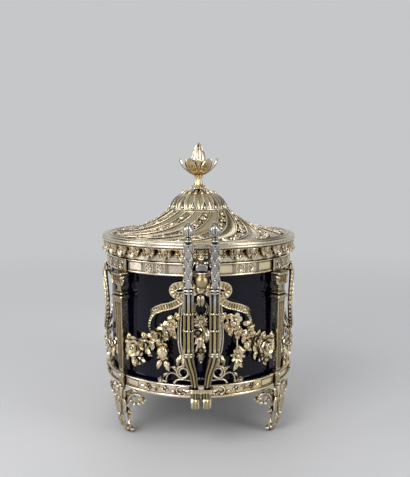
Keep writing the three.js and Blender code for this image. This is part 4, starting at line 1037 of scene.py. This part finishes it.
def garland_of_roses():
    """The garland with the closed roses, hung at the left of a handle and drawn here to the right."""
    anchor = PILASTER_ANGLE * PANEL - PILASTER_GAP
    form = garland_chain(anchor, 3) + daisy(16.0, 69.6, 3.4, 6, 0.6)
    for x, y, radius, level, turn in (
        (24.4, 62.6, 3.8, 0.6, 0.4),
        (39.6, 53.6, 6.4, 0.6, 0.0),
        (33.4, 56.6, 3.4, 0.5, 0.9),
        (36.8, 47.0, 2.9, 0.4, 0.2),
    ):
        form += rose(x, y, radius, level, turn)
    form += rosebud((31.2, 60.4), (34.4, 63.4), 1.8)
    form += rosebud((anchor - 3.4, 57.4), (anchor - 1.6, 61.4), 1.7)
    form += several(
        leaf,
        ((31, 55), (27.6, 50.4), 1.5),
        ((35.4, 49), (31.6, 46.6), 1.4),
        ((41, 47.6), (39.2, 42.6), 1.6),
        ((44.6, 50), (45.4, 45.4), 1.3),
        ((28, 60), (26.6, 56), 1.2),
        ((20, 66.6), (23, 69.2), 1.2),
        ((14.4, 66.6), (13.2, 61.6), 1.4),
        ((18.4, 64.6), (17.8, 60.6), 1.2),
        rise=0.8,
        level=0.3,
        bend=0.15,
    )
    form.append(stem([(20.8, 64.2, 0.3), (21.2, 59.4, 0.4), (20.8, 56.6, 0.4)], 0.55, 0.55, 12))
    form += petals(20.8, 56.0, 3.1, 5, 1.5, 0.6, 0.8, turn=-0.3)
    form.append(pod((20.8, 57.6), (20.8, 48.8), 3.3, 3, 0.08, 1.2, 0.75))
    for side in (-1, 1):
        start, end = (20.8 + side * 0.6, 56.4), (20.8 + side * 3.2, 50.2)
        form.append(leaf(start, end, 1.3, 0.9, 1.8, 0.3, 3, -0.2 * side, 0.4))
    form.append(leaf((20.8, 56.6), (20.6, 50.6), 1.4, 0.7, 3.2, 0.3, 3))
    form.append(leaf((21.8, 48.8), (24.2, 43.6), 1.4, 0.7, 0.4, 0.2, 4, 0.1))
    return form + [pod((19.9, 49.2), (17.4, 42.9), 1.6, 6, 0.1, 0.5, scales=3)]


def garland_of_daisies():
    """The garland with the open flowers, hung at the right of a handle."""
    anchor = PILASTER_ANGLE * PANEL - PILASTER_GAP
    form = garland_chain(anchor, 8)
    form += daisy(19.2, 72.2, 3.7, 5, 0.7, heart=0.32) + daisy(28.6, 63.6, 2.9, 6, 0.6)
    form += rose(40.6, 53.6, 6.3, 0.6, 0.5) + rose(33.0, 58.4, 3.3, 0.5, 0.1)
    form += rose(38.4, 46.8, 2.9, 0.4, 0.7) + rosebud((36.6, 59.2), (39.0, 62.6), 1.8)
    form += rosebud((anchor - 2.4, 57.6), (anchor - 1.2, 61.6), 1.6)
    form.append(pod((25.9, 59.2), (25.9, 54.2), 2.2, 5, 0.08, 1.0))
    form += several(
        leaf,
        ((24, 69.6), (29.4, 70.2), 1.5),
        ((22.4, 67.6), (24, 62.8), 1.4),
        ((30.6, 60.4), (35.2, 64.2), 1.3),
        ((34, 52.4), (31.8, 47.4), 1.4),
        ((41.4, 47.4), (39.8, 42.8), 1.6),
        ((44.8, 49.6), (45.4, 45.2), 1.2),
        ((16.4, 69), (14.6, 65), 1.2),
        ((26.6, 66.4), (31.6, 67.8), 1.2),
        rise=0.8,
        level=0.3,
        bend=-0.15,
    )
    form.append(stem([(21.4, 64.4, 0.3), (20.4, 60, 0.4), (20.6, 56.4, 0.4)], 0.55, 0.55, 12))
    form += petals(20.5, 51.6, 4.2, 8, 0.95, 0.9, 0.9, turn=-0.2, inner=0.25)
    form.append(dome(20.5, 51.6, 1.3, 1.2, 1.2, 12, lobes=6))
    for start, end, half, bend in (
        ((20.2, 57), (16.6, 51.6), 1.4, 0.3),
        ((21, 57.2), (26.4, 54.6), 1.4, -0.3),
        ((25.4, 55.4), (29.2, 53.0), 1.2, 0.1),
        ((20.2, 49.4), (18, 43.2), 1.5, 0.1),
        ((21.6, 48.8), (23.6, 44.4), 1.2, -0.1),
    ):
        form.append(leaf(start, end, half, 0.8, 0.8, bend=bend))
    return form


def scrolls():
    """The lyre's double bar, its cup, the volute and a small arch, drawn up from the lower band."""
    base = LOWER_TOP + GAP
    top = UPPER_BOTTOM - 13.4 - base
    form = []
    for shift in (-0.62, 0.62):
        lyre = [(10.2 + shift, top, 0), (11.3 + shift, top - 9, 0.2), (11.6 + shift, 26, 0.3)]
        lyre += [(10.7 + shift, 18.5, 0.3), (8.9 + shift * 0.5, 14.5, 0.3)]
        form.append(stem(lyre, 0.5, 0.5, 32))
    form.append(stem([(7.2, 16.7, 0.6), (10.4, 16.7, 0.6)], 0.55, 0.8, 6))
    form.append(pod((8.8, 17.4), (9.1, 10.2), 1.6, 4, 0.1, 0.5))
    for side in (-1, 1):
        form.append(leaf((8.8, 16.4), (9 + side * 3.6, 10.4), 1.5, 1.0, 0.6, 0.4, 3, 0.16 * side, 1.0))
    form.append(leaf((8.8, 16.4), (9.0, 10.0), 1.4, 0.9, 1.5, 0.4, 4, 0, 0.6))
    volute = spiral(9.7, 6.6, 3.7, 1.9, 60, -1.35, 56)
    form.append(sweep(volute, lambda t: (0.76 - 0.18 * t, 0.76 - 0.18 * t)))
    form.append(stem([(11.6, 9.8, 0.2), (9.6, 10.6, 0.3), (8.6, 12.4, 0.3)], 0.7, 0.7, 12, 0.3))
    inward = [(12.0, 3.9, 0), (9.6, 2.9, 0), (6.4, 2.4, 0.2), (3, 2.6, 0.1), (GAP, 3.6, 0)]
    form.append(stem(inward, 0.75, 0.8, 24, 0.35, RIDGED))
    arch = [(12.4, 4.6, 0), (14.6, 6.1, 0.1), (17.2, 5.8, 0.1), (18.9, 3.4, 0.1), (19.4, 0.3, 0)]
    form.append(stem(arch, 0.75, 0.85, 28, 0.1, RIDGED))
    form.append(leaf((12.8, 6.4), (16.4, 9.6), 1.0, 0.6, 0.3, 0.2, 3, 0.2))
    form.append(leaf((17.6, 5.4), (20.8, 3.0), 0.8, 0.5, 0.3, 0.2, 3, 0.2))
    form += petals(22.6, 1.4, 1.7, 5, 0.7, 0.3, 0.4, turn=0.4)
    form.append(stem([(19.4, 0.7, 0), (22.6, 1.2, 0.1)], 0.5, 0.5, 8))
    form.append(dome(22.6, 1.4, 0.65, 0.8, 0.5, 10))
    low = [(14.7, 0.3, 0.1), (13.7, 1.7, 0.2), (12.1, 2.6, 0.3), (9.4, 2.8, 0.3)]
    form.append(stem(low, 0.62, 0.62, 20, 0.2))
    return shifted(form, 0, base)


# Openwork of the two sides without handles

WREATH_BAR = 1.8
WREATH_TOP = UPPER_BOTTOM - 4.6
WREATH_HALF_WIDTH = 18.5
WREATH_HALF_HEIGHT = (WREATH_TOP - WREATH_LOW - WREATH_BAR * 1.15) / 2
WREATH_LEVEL = WREATH_TOP - WREATH_HALF_HEIGHT


def wreath():
    """Laurel leaves and berries round a hoop, tied at the quarters and topped by a flower with ribbons."""
    form = [oval_ring(0, 0, WREATH_HALF_WIDTH, WREATH_HALF_HEIGHT, 0.95, 0.2, steps=96)]
    whorls = 22
    reach = np.array([WREATH_HALF_WIDTH, WREATH_HALF_HEIGHT])
    for half in (-1, 1):
        for k in range(whorls):
            turn = math.pi * (k + 0.2) / whorls
            spot = reach * (half * math.sin(turn), -math.cos(turn))
            along = unit(reach * (half * math.cos(turn), math.sin(turn)))
            out = np.array([along[1], -along[0]])
            for side in (-1, 0, 1):
                start = spot + out * side * 0.3
                tip = start + along * (3.6 if side else 3.9) + out * side * 1.6
                form.append(leaf(start, tip, 0.95, 0.6, 0.5 if side else 1.3, 0.2, 3, 0, 0.5, 0.45))
            if k % 2:
                form.append(dome(*(spot + out * 1.5), 0.6, 0.8, 0.7, 9))
    for turn in full_turn(4):
        across = np.array([math.sin(turn), math.cos(turn)])
        side = np.array([across[1], -across[0]])
        for shift in (-0.9, 0, 0.9):
            spot = reach * across + side * shift
            ends = [(*(spot - across * 1.8), 0.2), (*spot, 1.7), (*(spot + across * 1.8), 0.2)]
            form.append(stem(ends, 0.42, 0.5, 12))
    top = WREATH_HALF_HEIGHT + 1.0
    form += daisy(0, top, 3.3, 8, 0.8)
    form.append(stem([(0, top, 0), (0, UPPER_BOTTOM - GAP - WREATH_LEVEL, 0)], 1.5, 0.8, 8, section=FLANGED))
    loop = [(1.5, top + 0.4, 0.4), (4.6, top + 2.4, 0.9), (7.6, top + 1.8, 0.6), (9.4, top - 0.6, 0.3)]
    tail = [(1.5, top - 0.6, 0.3), (4.8, top - 1.2, 0.9), (7.4, top - 4.2, 0.5)]
    form += both([ribbon(loop, 1.2, 8, 40), ribbon(tail, 1.0, 6, 32, fade=0.5)])
    return shifted(form, 0, WREATH_LEVEL)


def side_garland():
    """Half of the garland that hangs under the wreath, drawn about the wreath's lower edge."""
    anchor = (math.pi / 2 - PILASTER_ANGLE) * PANEL - PILASTER_GAP
    knots = [(anchor - 0.6, 1.6), (anchor - 6, -2.2), (anchor - 14, -3.6), (12, -3), (0.15, -1.7)]
    line = spline([(x, y, 0.1) for x, y in knots], 40)
    form = [sweep(line, (0.9, 0.9))] + sprays(line, 16, 3.4, 1.1, 21)
    form += rose(anchor - 4.4, -0.6, 3.6, 0.6) + rose(anchor - 12, -3.4, 4.4, 0.6, 0.4)
    form += daisy(14.4, -3.2, 2.7, 6, 0.6) + daisy(2.6, -2.6, 2.0, 6, 0.5)
    form += rosebud((9.6, -2.6), (6.6, -4.6), 1.4)
    form += several(
        leaf,
        ((anchor - 8, -3), (anchor - 7.4, -9.2), 1.5, 0.8, 0.3),
        ((anchor - 14, -5), (anchor - 16.4, -9.6), 1.4, 0.8, 0.3),
        ((anchor - 2.4, -1.6), (anchor - 1.8, -6.4), 1.2, 0.7, 0.3),
    )
    return shifted(form, 0, WREATH_LOW - GAP)


def side_scrolls():
    """Half of the scrolls that stand under the wreath."""
    base, head = LOWER_TOP + GAP, WREATH_LOW - GAP - 3.4
    line = [(GAP, head - 0.9, 0), (4.5, head - 2.4, 0.2), (9, head - 7, 0.2)]
    line += [(13.4, base + 4, 0.2), (13, base + 0.3, 0)]
    form = [stem(line, 0.95, 0.95, 32, 0.2, RIDGED), dome(10.5, base + 4.0, 0.7, 0.9, 0.2, 12)]
    curl = spiral(9.8, base + 4.2, 3.0, 0.9, -10, -1.2, 44)
    form.append(sweep(curl, lambda t: (0.65 - 0.15 * t, 0.75), RIDGED))
    form.append(leaf((5.4, head - 3), (9.6, head - 2.2), 1.1, 0.6, 0.3, 0.3, 3, 0.2))
    return form + [leaf((3.4, head - 2.2), (1.4, head - 6.8), 1.1, 0.7, 0.3, 0.3, 3, 0.15)]


# Glass and its seat


def liner():
    bottom, floor = LINER_BOTTOM, LINER_BOTTOM + 4.0
    inner = LINER_RADIUS - 3.0
    profile = [(0, bottom + 0.8), (38, bottom + 0.8), (40, bottom), (LINER_RADIUS - 2, bottom)]
    profile += arc(LINER_RADIUS - 2, bottom + 2, 2, -75, 0, 6)
    profile += [(LINER_RADIUS, z) for z in np.linspace(bottom + 8, MOUNT_TOP - 6, 9)]
    profile += arc(LINER_RADIUS - 1.3, MOUNT_TOP - 1.3, 1.3, 0, 90, 6)
    profile += arc(inner + 1.2, MOUNT_TOP - 1.2, 1.2, 90, 180, 6)
    profile += [(inner, z) for z in np.linspace(MOUNT_TOP - 6, floor + 8, 9)]
    profile += arc(inner - 3, floor + 3, 3, 0, -90, 6)
    return revolve(profile + [(20, floor), (0, floor)], 160)


def liner_seat():
    outer = LOWER_RADIUS - BAND_WALL - GAP
    inner = outer - 7.5
    top = LOWER_BOTTOM + 1.2
    profile = [(inner + 0.3, LOWER_BOTTOM), (outer, LOWER_BOTTOM), (outer, top), (inner + 0.4, top)]
    return revolve(profile + [(inner, top - 0.4), (inner, LOWER_BOTTOM + 0.3)], 160)


# Lid


def lid_rim():
    """The moulded edge of the lid, with a ridge round the flutes."""
    ledge, rebate = LINER_RADIUS - 6.0, SHELL_RADIUS + GAP
    profile = [(ledge, 0), (RIM_RADIUS - 2.0, 0)]
    profile += arc(RIM_RADIUS - 0.75, 0.75, 0.72, -90, 60, 6) + arc(RIM_RADIUS - 1.65, 2.0, 1.35, -5, 110, 9)
    profile += [(RIM_RADIUS - 2.7, 3.0), (RIM_RADIUS - 3.6, 3.05)]
    profile += arc(RIM_RADIUS - 4.6, 3.4, 0.5, 0, 180, 8)
    profile += [(rebate + 0.4, 3.2), (rebate, 3.1), (rebate, 1.7), (ledge, 1.7)]
    return shifted(revolve(profile, 256), 0, 0, LID_BOTTOM)


def lid_bezel():
    """The flange of the lid that goes down inside the glass."""
    outer = LINER_RADIUS - 3.6
    inner = outer - 1.2
    profile = [(inner, -5.8), (inner + 0.3, -6), (outer - 0.5, -6), (outer - 0.1, -5.5), (outer, -4.6)]
    return shifted(revolve(profile + [(outer, 0), (inner, 0)], 192), 0, 0, LID_BOTTOM - GAP)


def flank(t):
    """Height of the fluted part, from the cap at 0 to the rim at 1."""
    return LID_BOTTOM + 3.4 + 14.2 * (1 - t) ** 2.3


def flute_course():
    """Along the middle of a flute: share of the flank, place, length so far, half width, across and up."""
    t = np.linspace(0, 1, 161)
    radius, angle = CAP_RADIUS + (SHELL_RADIUS - CAP_RADIUS) * t, TWIST * t
    line = np.stack([radius * np.sin(angle), -radius * np.cos(angle), flank(t)], 1)
    run = lengths(line)
    along = unit(np.gradient(line, axis=0))
    slope = np.gradient(flank(t), radius)
    up = unit(np.stack([-slope * np.sin(angle), slope * np.cos(angle), 1 + 0 * t], 1))
    down = unit(np.stack([np.sin(angle), -np.cos(angle), slope], 1))
    half = math.pi * radius / FLUTES * np.abs((along * down).sum(1))
    return {"share": t, "line": line, "run": run, "half": half, "across": np.cross(along, up), "up": up}


def lengths(line):
    """Length along a row of points up to each of them."""
    return np.concatenate([[0], np.cumsum(np.linalg.norm(np.diff(line, axis=0), axis=1))])


def laid(form, sunk):
    """Lays a flat drawing (across, along, up) on a flute of the lid."""
    course = flute_course()
    share = course["share"]

    def lay(p):
        at = np.interp(p[:, 1], course["run"], share)
        pick = lambda name: np.stack([np.interp(at, share, course[name][:, i]) for i in range(3)], 1)
        flat = pick("line") + pick("across") * p[:, :1]
        place = (np.hypot(flat[:, 0], flat[:, 1]) - CAP_RADIUS) / (SHELL_RADIUS - CAP_RADIUS)
        flat[:, 2] = flank(np.clip(place, 0, 1))
        return flat + pick("up") * (p[:, 2:] - sunk)

    return moved(form, lay)


def vine():
    """A flowering vine for one chased flute, drawn flat from the cap to the rim."""
    course = flute_course()
    length = course["run"][-1]
    width = lambda y: 0.8 * np.interp(y, course["run"], course["half"])
    places = enumerate(np.linspace(0.04, 0.95, 9) * length)
    knots = [(0.3 * width(y) * (1 if k % 2 else -1), y, 0.2) for k, y in places]
    made = [stem(knots, 0.5, 0.5, 40)]
    for k, share in enumerate((0.16, 0.46, 0.8)):
        y = share * length
        w, x = width(y), (0.1 if k % 2 else -0.1) * width(y)
        made += petals(x, y, 0.88 * w, 5, 0.44 * w, 0.5, 0.9, turn=k * 0.5, lip=0.3, thick=0.7)
        made.append(dome(x, y, 0.3 * w, 1.2, 0.7, 12))
    for k, share in enumerate((0.05, 0.25, 0.31, 0.38, 0.57, 0.64, 0.71, 0.9)):
        y = share * length
        w, side = width(y), 1 if k % 2 else -1
        root, tip = (-side * 0.2 * w, y - 0.6 * w), (side * 0.8 * w, y + 0.9 * w + 0.6)
        made.append(leaf(root, tip, 0.46 * w, 1.0, 0.3, 0.2, 3, 0.2 * side, 0.7, 0.7))
    return made


def lid_shell():
    """Spiral flutes between fine raised lines: hollow plain ones in turn with sunk ones that hold a vine."""
    turn = full_turn(FLUTES * 20)[None, :]
    place = turn * FLUTES / (2 * math.pi)
    flute = np.floor(place + 0.5)
    plain = (flute % 2 == 0) * 1.0

    def rings(t, relief):
        radius, angle = CAP_RADIUS + (SHELL_RADIUS - CAP_RADIUS) * t, turn + TWIST * t
        return np.stack([radius * np.sin(angle), -radius * np.cos(angle), flank(t) + relief + 0 * turn], -1)

    t = np.linspace(0, 1, 54)[:, None]
    q = np.abs(2 * (place - flute) + 0 * t)
    hollow = 0.35 - 0.75 * (1 - q**2)
    sunk = -0.7 + 0.9 * smooth(0.8, 1, q)
    relief = (plain * hollow + (1 - plain) * sunk) * smooth(0, 0.05, t) * smooth(1, 0.97, t)
    under = rings(np.linspace(1, 0, 6)[:, None], -1.7)
    form = [loft(np.concatenate([rings(t, relief), under]), closed=True)]
    matted = ((1 - plain) * smooth(0.95, 0.8, q)).ravel()
    hem, drawn = [line_on_lid()], laid(vine(), 0.65)
    for k in range(FLUTES):
        form += turned(hem, (k + 0.5) * 2 * math.pi / FLUTES)
        if k % 2:
            form += turned(drawn, k * 2 * math.pi / FLUTES)
    return form, matted


def line_on_lid():
    """The raised line between two flutes."""
    course = flute_course()
    line, up = course["line"][3:-3:4], course["up"][3:-3:4]
    return sweep(line + up * 0.45, lambda t: (0.42 + 0.14 * t, 0.42), lateral=up)


def domed(form, outline):
    """Bends a flat drawing (across, up the dome, out) onto a dome with this outline."""
    run = lengths(outline)
    tangent = unit(np.gradient(outline, axis=0))

    def lay(p):
        pick = lambda row: np.interp(p[:, 1], run, row)
        radius, out = pick(outline[:, 0]), pick(tangent[:, 1])
        angle, reach = p[:, 0] / radius, radius + out * p[:, 2]
        height = pick(outline[:, 1]) - pick(tangent[:, 0]) * p[:, 2]
        return np.stack([reach * np.sin(angle), -reach * np.cos(angle), height], 1)

    return moved(form, lay)


def lid_cap():
    """A dome of upright lancet leaves with a pod between each two."""
    rise, leaves, wall = CAP_TOP - CAP_BOTTOM, 16, 1.6
    angles = np.linspace(0.0, 0.86, 40) * math.pi / 2
    outline = np.array([(CAP_RADIUS * math.cos(a), CAP_BOTTOM + rise * math.sin(a) ** 1.3) for a in angles])
    base = [(r - 0.5, z - 0.25 * (z > CAP_BOTTOM + 0.5)) for r, z in outline]
    profile = [(CAP_RADIUS, CAP_BOTTOM), (CAP_RADIUS, CAP_BOTTOM + 0.6)] + base[3:]
    outside = len(profile)
    profile += [(2.4, CAP_TOP - 0.1), (1.95, CAP_TOP - 0.3), (1.95, CAP_TOP - 1.4), (3.9, CAP_TOP - 1.6)]
    profile += [(r - wall, max(z - 1.4, CAP_BOTTOM)) for r, z in outline[::-5]]
    profile.append((CAP_RADIUS - wall, CAP_BOTTOM))
    form = revolve(profile, 160)
    matted = np.repeat([1.0] * outside + [0.0] * (len(profile) - outside), 160)
    length = lengths(outline)[-1]
    row = np.linspace(0.03, 0.97, 26)[:, None]
    radius = np.interp(row * length, np.linspace(0, length, len(outline)), outline[:, 0])
    pitch = math.pi * radius / leaves
    line = np.hstack([0 * row, row * length, 0 * row - 0.1])
    width = lambda u: pitch * 0.95 * np.sin(math.pi * (0.14 + 0.85 * u) ** 0.95) ** 0.85

    def lift(u, v):
        rim = 0.35 * smooth(0.62, 0.84, np.abs(v))
        return rim + 0.4 * hump(v, 0, 0.13) - 0.2 + 0.25 * np.sin(math.pi * u)

    on = domed([blade(line, width, lift, thick=0.7, columns=7)], outline)
    between = [dome(0, length * 0.72, 0.95, 1.3, 0.0, 12, tall=2.4)]
    between.append(dome(0, length * 0.07, 0.95, 1.1, 0.0, 12, tall=1.3))
    between.append(dome(0, length * 0.9, 0.5, 0.7, 0.0, 10, tall=1.8))
    off = domed(between, outline)
    for angle in full_turn(leaves):
        form += turned(on, angle) + turned(off, angle + math.pi / leaves)
    return form, matted


def finial_stem():
    """The turned stem of the finial, reeded at its waist, with a collar of small leaves at its foot."""
    bottom, height = CAP_TOP + GAP, STEM_TOP - CAP_TOP - GAP
    outline = [(5.0, 0), (5.1, 0.4), (4.4, 0.9), (3.4, 1.5), (2.7, 2.6), (2.3, 4.2), (2.15, 5.8), (2.3, 7.0)]
    outline = spline(outline + [(2.7, 7.8), (2.4, height)], 40)[:, :2]
    profile = [(0, -4.0), (1.6, -4.0), (1.6, 0), *outline, (0, height)]
    ripple = lambda turn, row: 0.2 * np.cos(8 * turn) * smooth(4, 12, row) * (1 - smooth(34, 40, row))
    form = revolve(profile, 96, ripple)
    drawn = [leaf((2.0, 2.4), (5.4, 0.7), 1.4, 0.5, 0.5, 0.2, 3, 0, 0.2)]
    fall = lambda p: np.stack([p[:, 1] - 1.55, -p[:, 0], p[:, 2] + 1.9 - 0.62 * (p[:, 0] - 2.0)], 1)
    for angle in math.pi / 8 + full_turn(8):
        form += turned(moved(drawn, fall), angle)
    return shifted(form, 0, 0, bottom)


def calyx_petal(reach, height, half, root, bow_out):
    """A spoon-shaped petal that leans out and lifts its tip."""
    u = np.linspace(0, 1, 20)
    out = root + (reach - root) * np.sin(u * math.pi / 2) ** bow_out
    line = np.stack([0 * u, -out, CALYX_BOTTOM + 0.5 + (height - 0.5) * u**1.15], 1)
    width = lambda t: half * np.sin(math.pi * (0.1 + 0.88 * t) ** 1.1) ** 0.6
    lift = lambda t, v: 1.2 * v**2 * (1 - 0.5 * t) - 0.25 * hump(v, 0, 0.1) - 0.5
    return [blade(line, width, lift, (1.0, 0, 0), columns=6)]


def finial_calyx():
    """A small cup with two rings of six petals."""
    profile = [(0, 0), (2.3, 0), (3.0, 0.6), (3.4, 1.8), (3.2, 2.7), (2.6, 3.0), (0, 3.0)]
    form = shifted(revolve(profile, 48), 0, 0, CALYX_BOTTOM)
    for angle in full_turn(6):
        form += turned(calyx_petal(11.0, 9.9, 3.1, 2.0, 0.85), angle + math.pi / 6)
        form += turned(calyx_petal(8.2, 9.4, 3.6, 1.8, 0.75), angle)
    return form


def finial_bud():
    """A pointed bud whose folded halves meet in beaded seams."""
    folds, grains_high, rows = 4, 9, 70
    knots = [(2.2, 0.2), (3.7, 1.6), (4.55, 3.8), (4.65, 5.8), (4.1, 8.2), (3.25, 10.6), (2.2, 12.9)]
    outline = spline(knots + [(1.2, 14.8), (0.35, 16.1)], rows)[:, :2]
    profile = [(0, 0), *outline, (0, BUD_TOP - BUD_BOTTOM)]

    def relief(turn, row):
        t = row / rows
        a = np.abs((turn * folds / (2 * math.pi) + 0.5) % 1 * 2 - 1)
        seam = -0.5 * hump(a, 0, 0.2)
        grains = 0.55 * np.clip(np.cos(2 * math.pi * grains_high * t), 0, 1) * hump(a, 0, 0.12)
        fold = 0.3 * hump(a, 0.34, 0.1) - 0.25 * hump(a, 0.72, 0.16)
        return (seam + grains + fold) * smooth(0, 0.12, t) * smooth(1, 0.85, t)

    return shifted(revolve(profile, 128, relief), 0, 0, BUD_BOTTOM)


def gilt(name, form, material, node, body="frame", **more):
    piece(name, form, material, body, "gilt", node, **more)


def make_frame_pieces():
    gilt("upper_band_dressed", upper_band(), POLISHED, "upper_band")
    gilt("lower_band_dressed", lower_band(), POLISHED, "lower_band")
    gilt("leaf_border_dressed", leaf_border(), LEAFED, "leaf_border")
    gilt("liner_seat_dressed", liner_seat(), POLISHED, "liner_seat")
    post, leg = wrapped(pilaster()), wrapped(foot())
    for end, away in (("front_", PILASTER_ANGLE), ("back_", math.pi - PILASTER_ANGLE)):
        for hand, angle in (("left", -away), ("right", away)):
            corner = end + hand
            gilt("post_" + corner, turned(post, angle), SHADED_GILT, "pilaster_" + corner, sharp=30)
            gilt("leg_" + corner, turned(leg, angle), SHADED_GILT, "foot_" + corner)


def make_handle_side(face, angle, facing):
    """A handle and the openwork behind it. facing is 1 where the side's right is the box's right."""

    def put(name, form, material, node, slot="gilt"):
        piece(name, turned(form, angle), material, "frame", slot, node)

    start = "handle_" + face + "_"
    put(start + "cross", handle_bridge(), SILVER, start + "bridge", "darkened_silver")
    put(start + "sphere", handle_ball(), BRONZE, start + "ball")
    put(start + "clasp", handle_strap(), GILT, start + "strap")
    put("ribbon_" + face, wrapped(bow()), GILT, "bow_" + face)
    put("drop_" + face, wrapped(pendant()), SHADED_GILT, "pendant_" + face)
    openwork = scrolls()
    for side in (-1, 1):
        hand = "left" if side * facing < 0 else "right"
        end = face + "_" + hand
        put(start + "bar_" + hand, handle_rod(side), SILVER, start + "rod_" + hand, "darkened_silver")
        put(start + "tip_" + hand, handle_bud(side), SILVER, start + "bud_" + hand, "darkened_silver")
        drawn = garland_of_roses() if side < 0 else garland_of_daisies()
        put("swag_" + end, wrapped(mirrored(drawn, side)), GILT, "garland_" + end)
        put("lyre_" + end, wrapped(mirrored(openwork, side)), SHADED_GILT, "scrolls_" + end)


def make_plain_side(hand, angle, facing):
    gilt("laurel_" + hand, turned(wrapped(wreath()), angle), GILT, "wreath_" + hand)
    swag, curls = side_garland(), side_scrolls()
    for side in (-1, 1):
        end = hand + ("_back" if side * facing < 0 else "_front")
        gilt("side_swag_" + end, turned(wrapped(mirrored(swag, side)), angle), GILT, "side_garland_" + end)
        gilt("side_curls_" + end, turned(wrapped(mirrored(curls, side)), angle), GILT, "side_scrolls_" + end)


def make_lid():
    gilt("lid_edge", lid_rim(), LEAFED, "lid_rim", "lid")
    gilt("lid_collar", lid_bezel(), POLISHED, "lid_bezel", "lid")
    shell, shell_matted = lid_shell()
    cap, cap_matted = lid_cap()
    gilt("lid_flutes", shell, CHASED, "lid_shell", "lid", sharp=60, matted=shell_matted)
    gilt("lid_dome", cap, CHASED, "lid_cap", "lid", sharp=60, matted=cap_matted)
    gilt("finial_foot", finial_stem(), GILT, "finial_stem", "lid")
    gilt("finial_petals", finial_calyx(), GOLDEN, "finial_calyx", "lid")
    gilt("finial_heart", finial_bud(), LEAFED, "finial_bud", "lid", sharp=70)
    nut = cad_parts["finial_nut"].data.materials
    nut.clear()
    nut.append(GILT)


# Stage


BACKDROP = (0.56, 0.57, 0.58)
ROOM = (0.04, 0.04, 0.045)
CEILING = (0.62, 0.63, 0.65)


def stage():
    """A plain pale floor that runs into the backdrop; its shadow stays."""
    material = bpy.data.materials.new("floor")
    graph = Graph(material)
    shader = graph.nodes["Principled BSDF"]
    shader.inputs["Base Color"].default_value = (0.66, 0.66, 0.67, 1)
    shader.inputs["Roughness"].default_value = 0.6
    far = graph.add("VectorMath", "Value", (("operation", "LENGTH"),), Vector=graph.add("TexCoord", "Object"))
    path = graph.nodes.new("ShaderNodeLightPath").outputs
    seen = graph.math("MAXIMUM", path["Is Camera Ray"], path["Is Glossy Ray"])
    seen = graph.math("MAXIMUM", seen, path["Is Transmission Ray"])
    share = graph.math("MULTIPLY", seen, graph.ramp(far, 0.16, 0.8, 0.0, 1.0))
    backdrop = graph.add("Emission", "Emission", Color=(*BACKDROP, 1.0), Strength=1.0)
    mixed = graph.nodes.new("ShaderNodeMixShader")
    for socket, value in zip(mixed.inputs, (share, shader.outputs["BSDF"], backdrop)):
        graph.feed(socket, value)
    graph.feed(graph.nodes["Material Output"].inputs["Surface"], mixed.outputs["Shader"])
    mesh = bpy.data.meshes.new("floor")
    mesh.from_pydata([(6 * math.cos(a), 6 * math.sin(a), 0) for a in full_turn(64)], [], [tuple(range(64))])
    mesh.materials.append(material)
    floor = bpy.data.objects.new("floor", mesh)
    bpy.context.scene.collection.objects.link(floor)


def lamp(name, place, target, size_x, size_y, power):
    data = bpy.data.lights.new(name, "AREA")
    data.shape = "RECTANGLE"
    data.size, data.size_y = size_x, size_y
    data.energy = power
    made = bpy.data.objects.new(name, data)
    made.location = place
    aim = Vector(target) - Vector(place)
    made.rotation_mode = "QUATERNION"
    made.rotation_quaternion = aim.to_track_quat("-Z", "Y")
    bpy.context.scene.collection.objects.link(made)


def light():
    """A pale backdrop all round, a dim room above it and a soft bright ceiling, with four lamps."""
    world = bpy.data.worlds.new("studio")
    bpy.context.scene.world = world
    graph = Graph(world)
    direction = graph.add("TexCoord", "Generated")
    up = graph.add("SeparateXYZ", "Z", Vector=direction)
    room = graph.blend(graph.ramp(up, 0.37, 0.45, 0.0, 1.0), BACKDROP, ROOM)
    back = graph.nodes["Background"].inputs
    graph.feed(back["Color"], graph.blend(graph.ramp(up, 0.56, 0.86, 0.0, 1.0), room, CEILING))
    back["Strength"].default_value = 1.0
    middle = (0, 0, 0.08)
    lamp("key", (-0.45, -0.6, 0.6), middle, 0.45, 0.6, 4.0)
    lamp("left_strip", (-0.75, -0.15, 0.3), middle, 0.2, 0.9, 1.7)
    lamp("fill", (0.65, -0.45, 0.4), middle, 0.3, 0.7, 2.3)
    lamp("rim", (-0.05, 0.72, 0.72), (0, 0, 0.1), 0.6, 0.4, 1.3)


def camera():
    """The photograph's view: from in front of a handle, a little above the lid."""
    azimuth, pitch = math.radians(1.2), math.radians(6.79)
    distance, height = 0.3785, 0.1553
    data = bpy.data.cameras.new("camera")
    data.sensor_width, data.lens, data.shift_x = 36.0, 45.66, 0.0136
    data.clip_start = 0.01
    made = bpy.data.objects.new("camera", data)
    made.location = (-distance * math.sin(azimuth), -distance * math.cos(azimuth), height)
    made.rotation_euler = (math.pi / 2 - pitch, 0, -azimuth)
    bpy.context.scene.collection.objects.link(made)
    bpy.context.scene.camera = made


make_frame_pieces()
make_handle_side("front", 0.0, 1)
make_handle_side("back", math.pi, -1)
make_plain_side("left", -math.pi / 2, 1)
make_plain_side("right", math.pi / 2, -1)
piece("liner_glass", liner(), GLASS, "liner", "cobalt_glass", "liner")
make_lid()
stage()
light()
camera()
bpy.context.scene.view_settings.view_transform = "Standard"
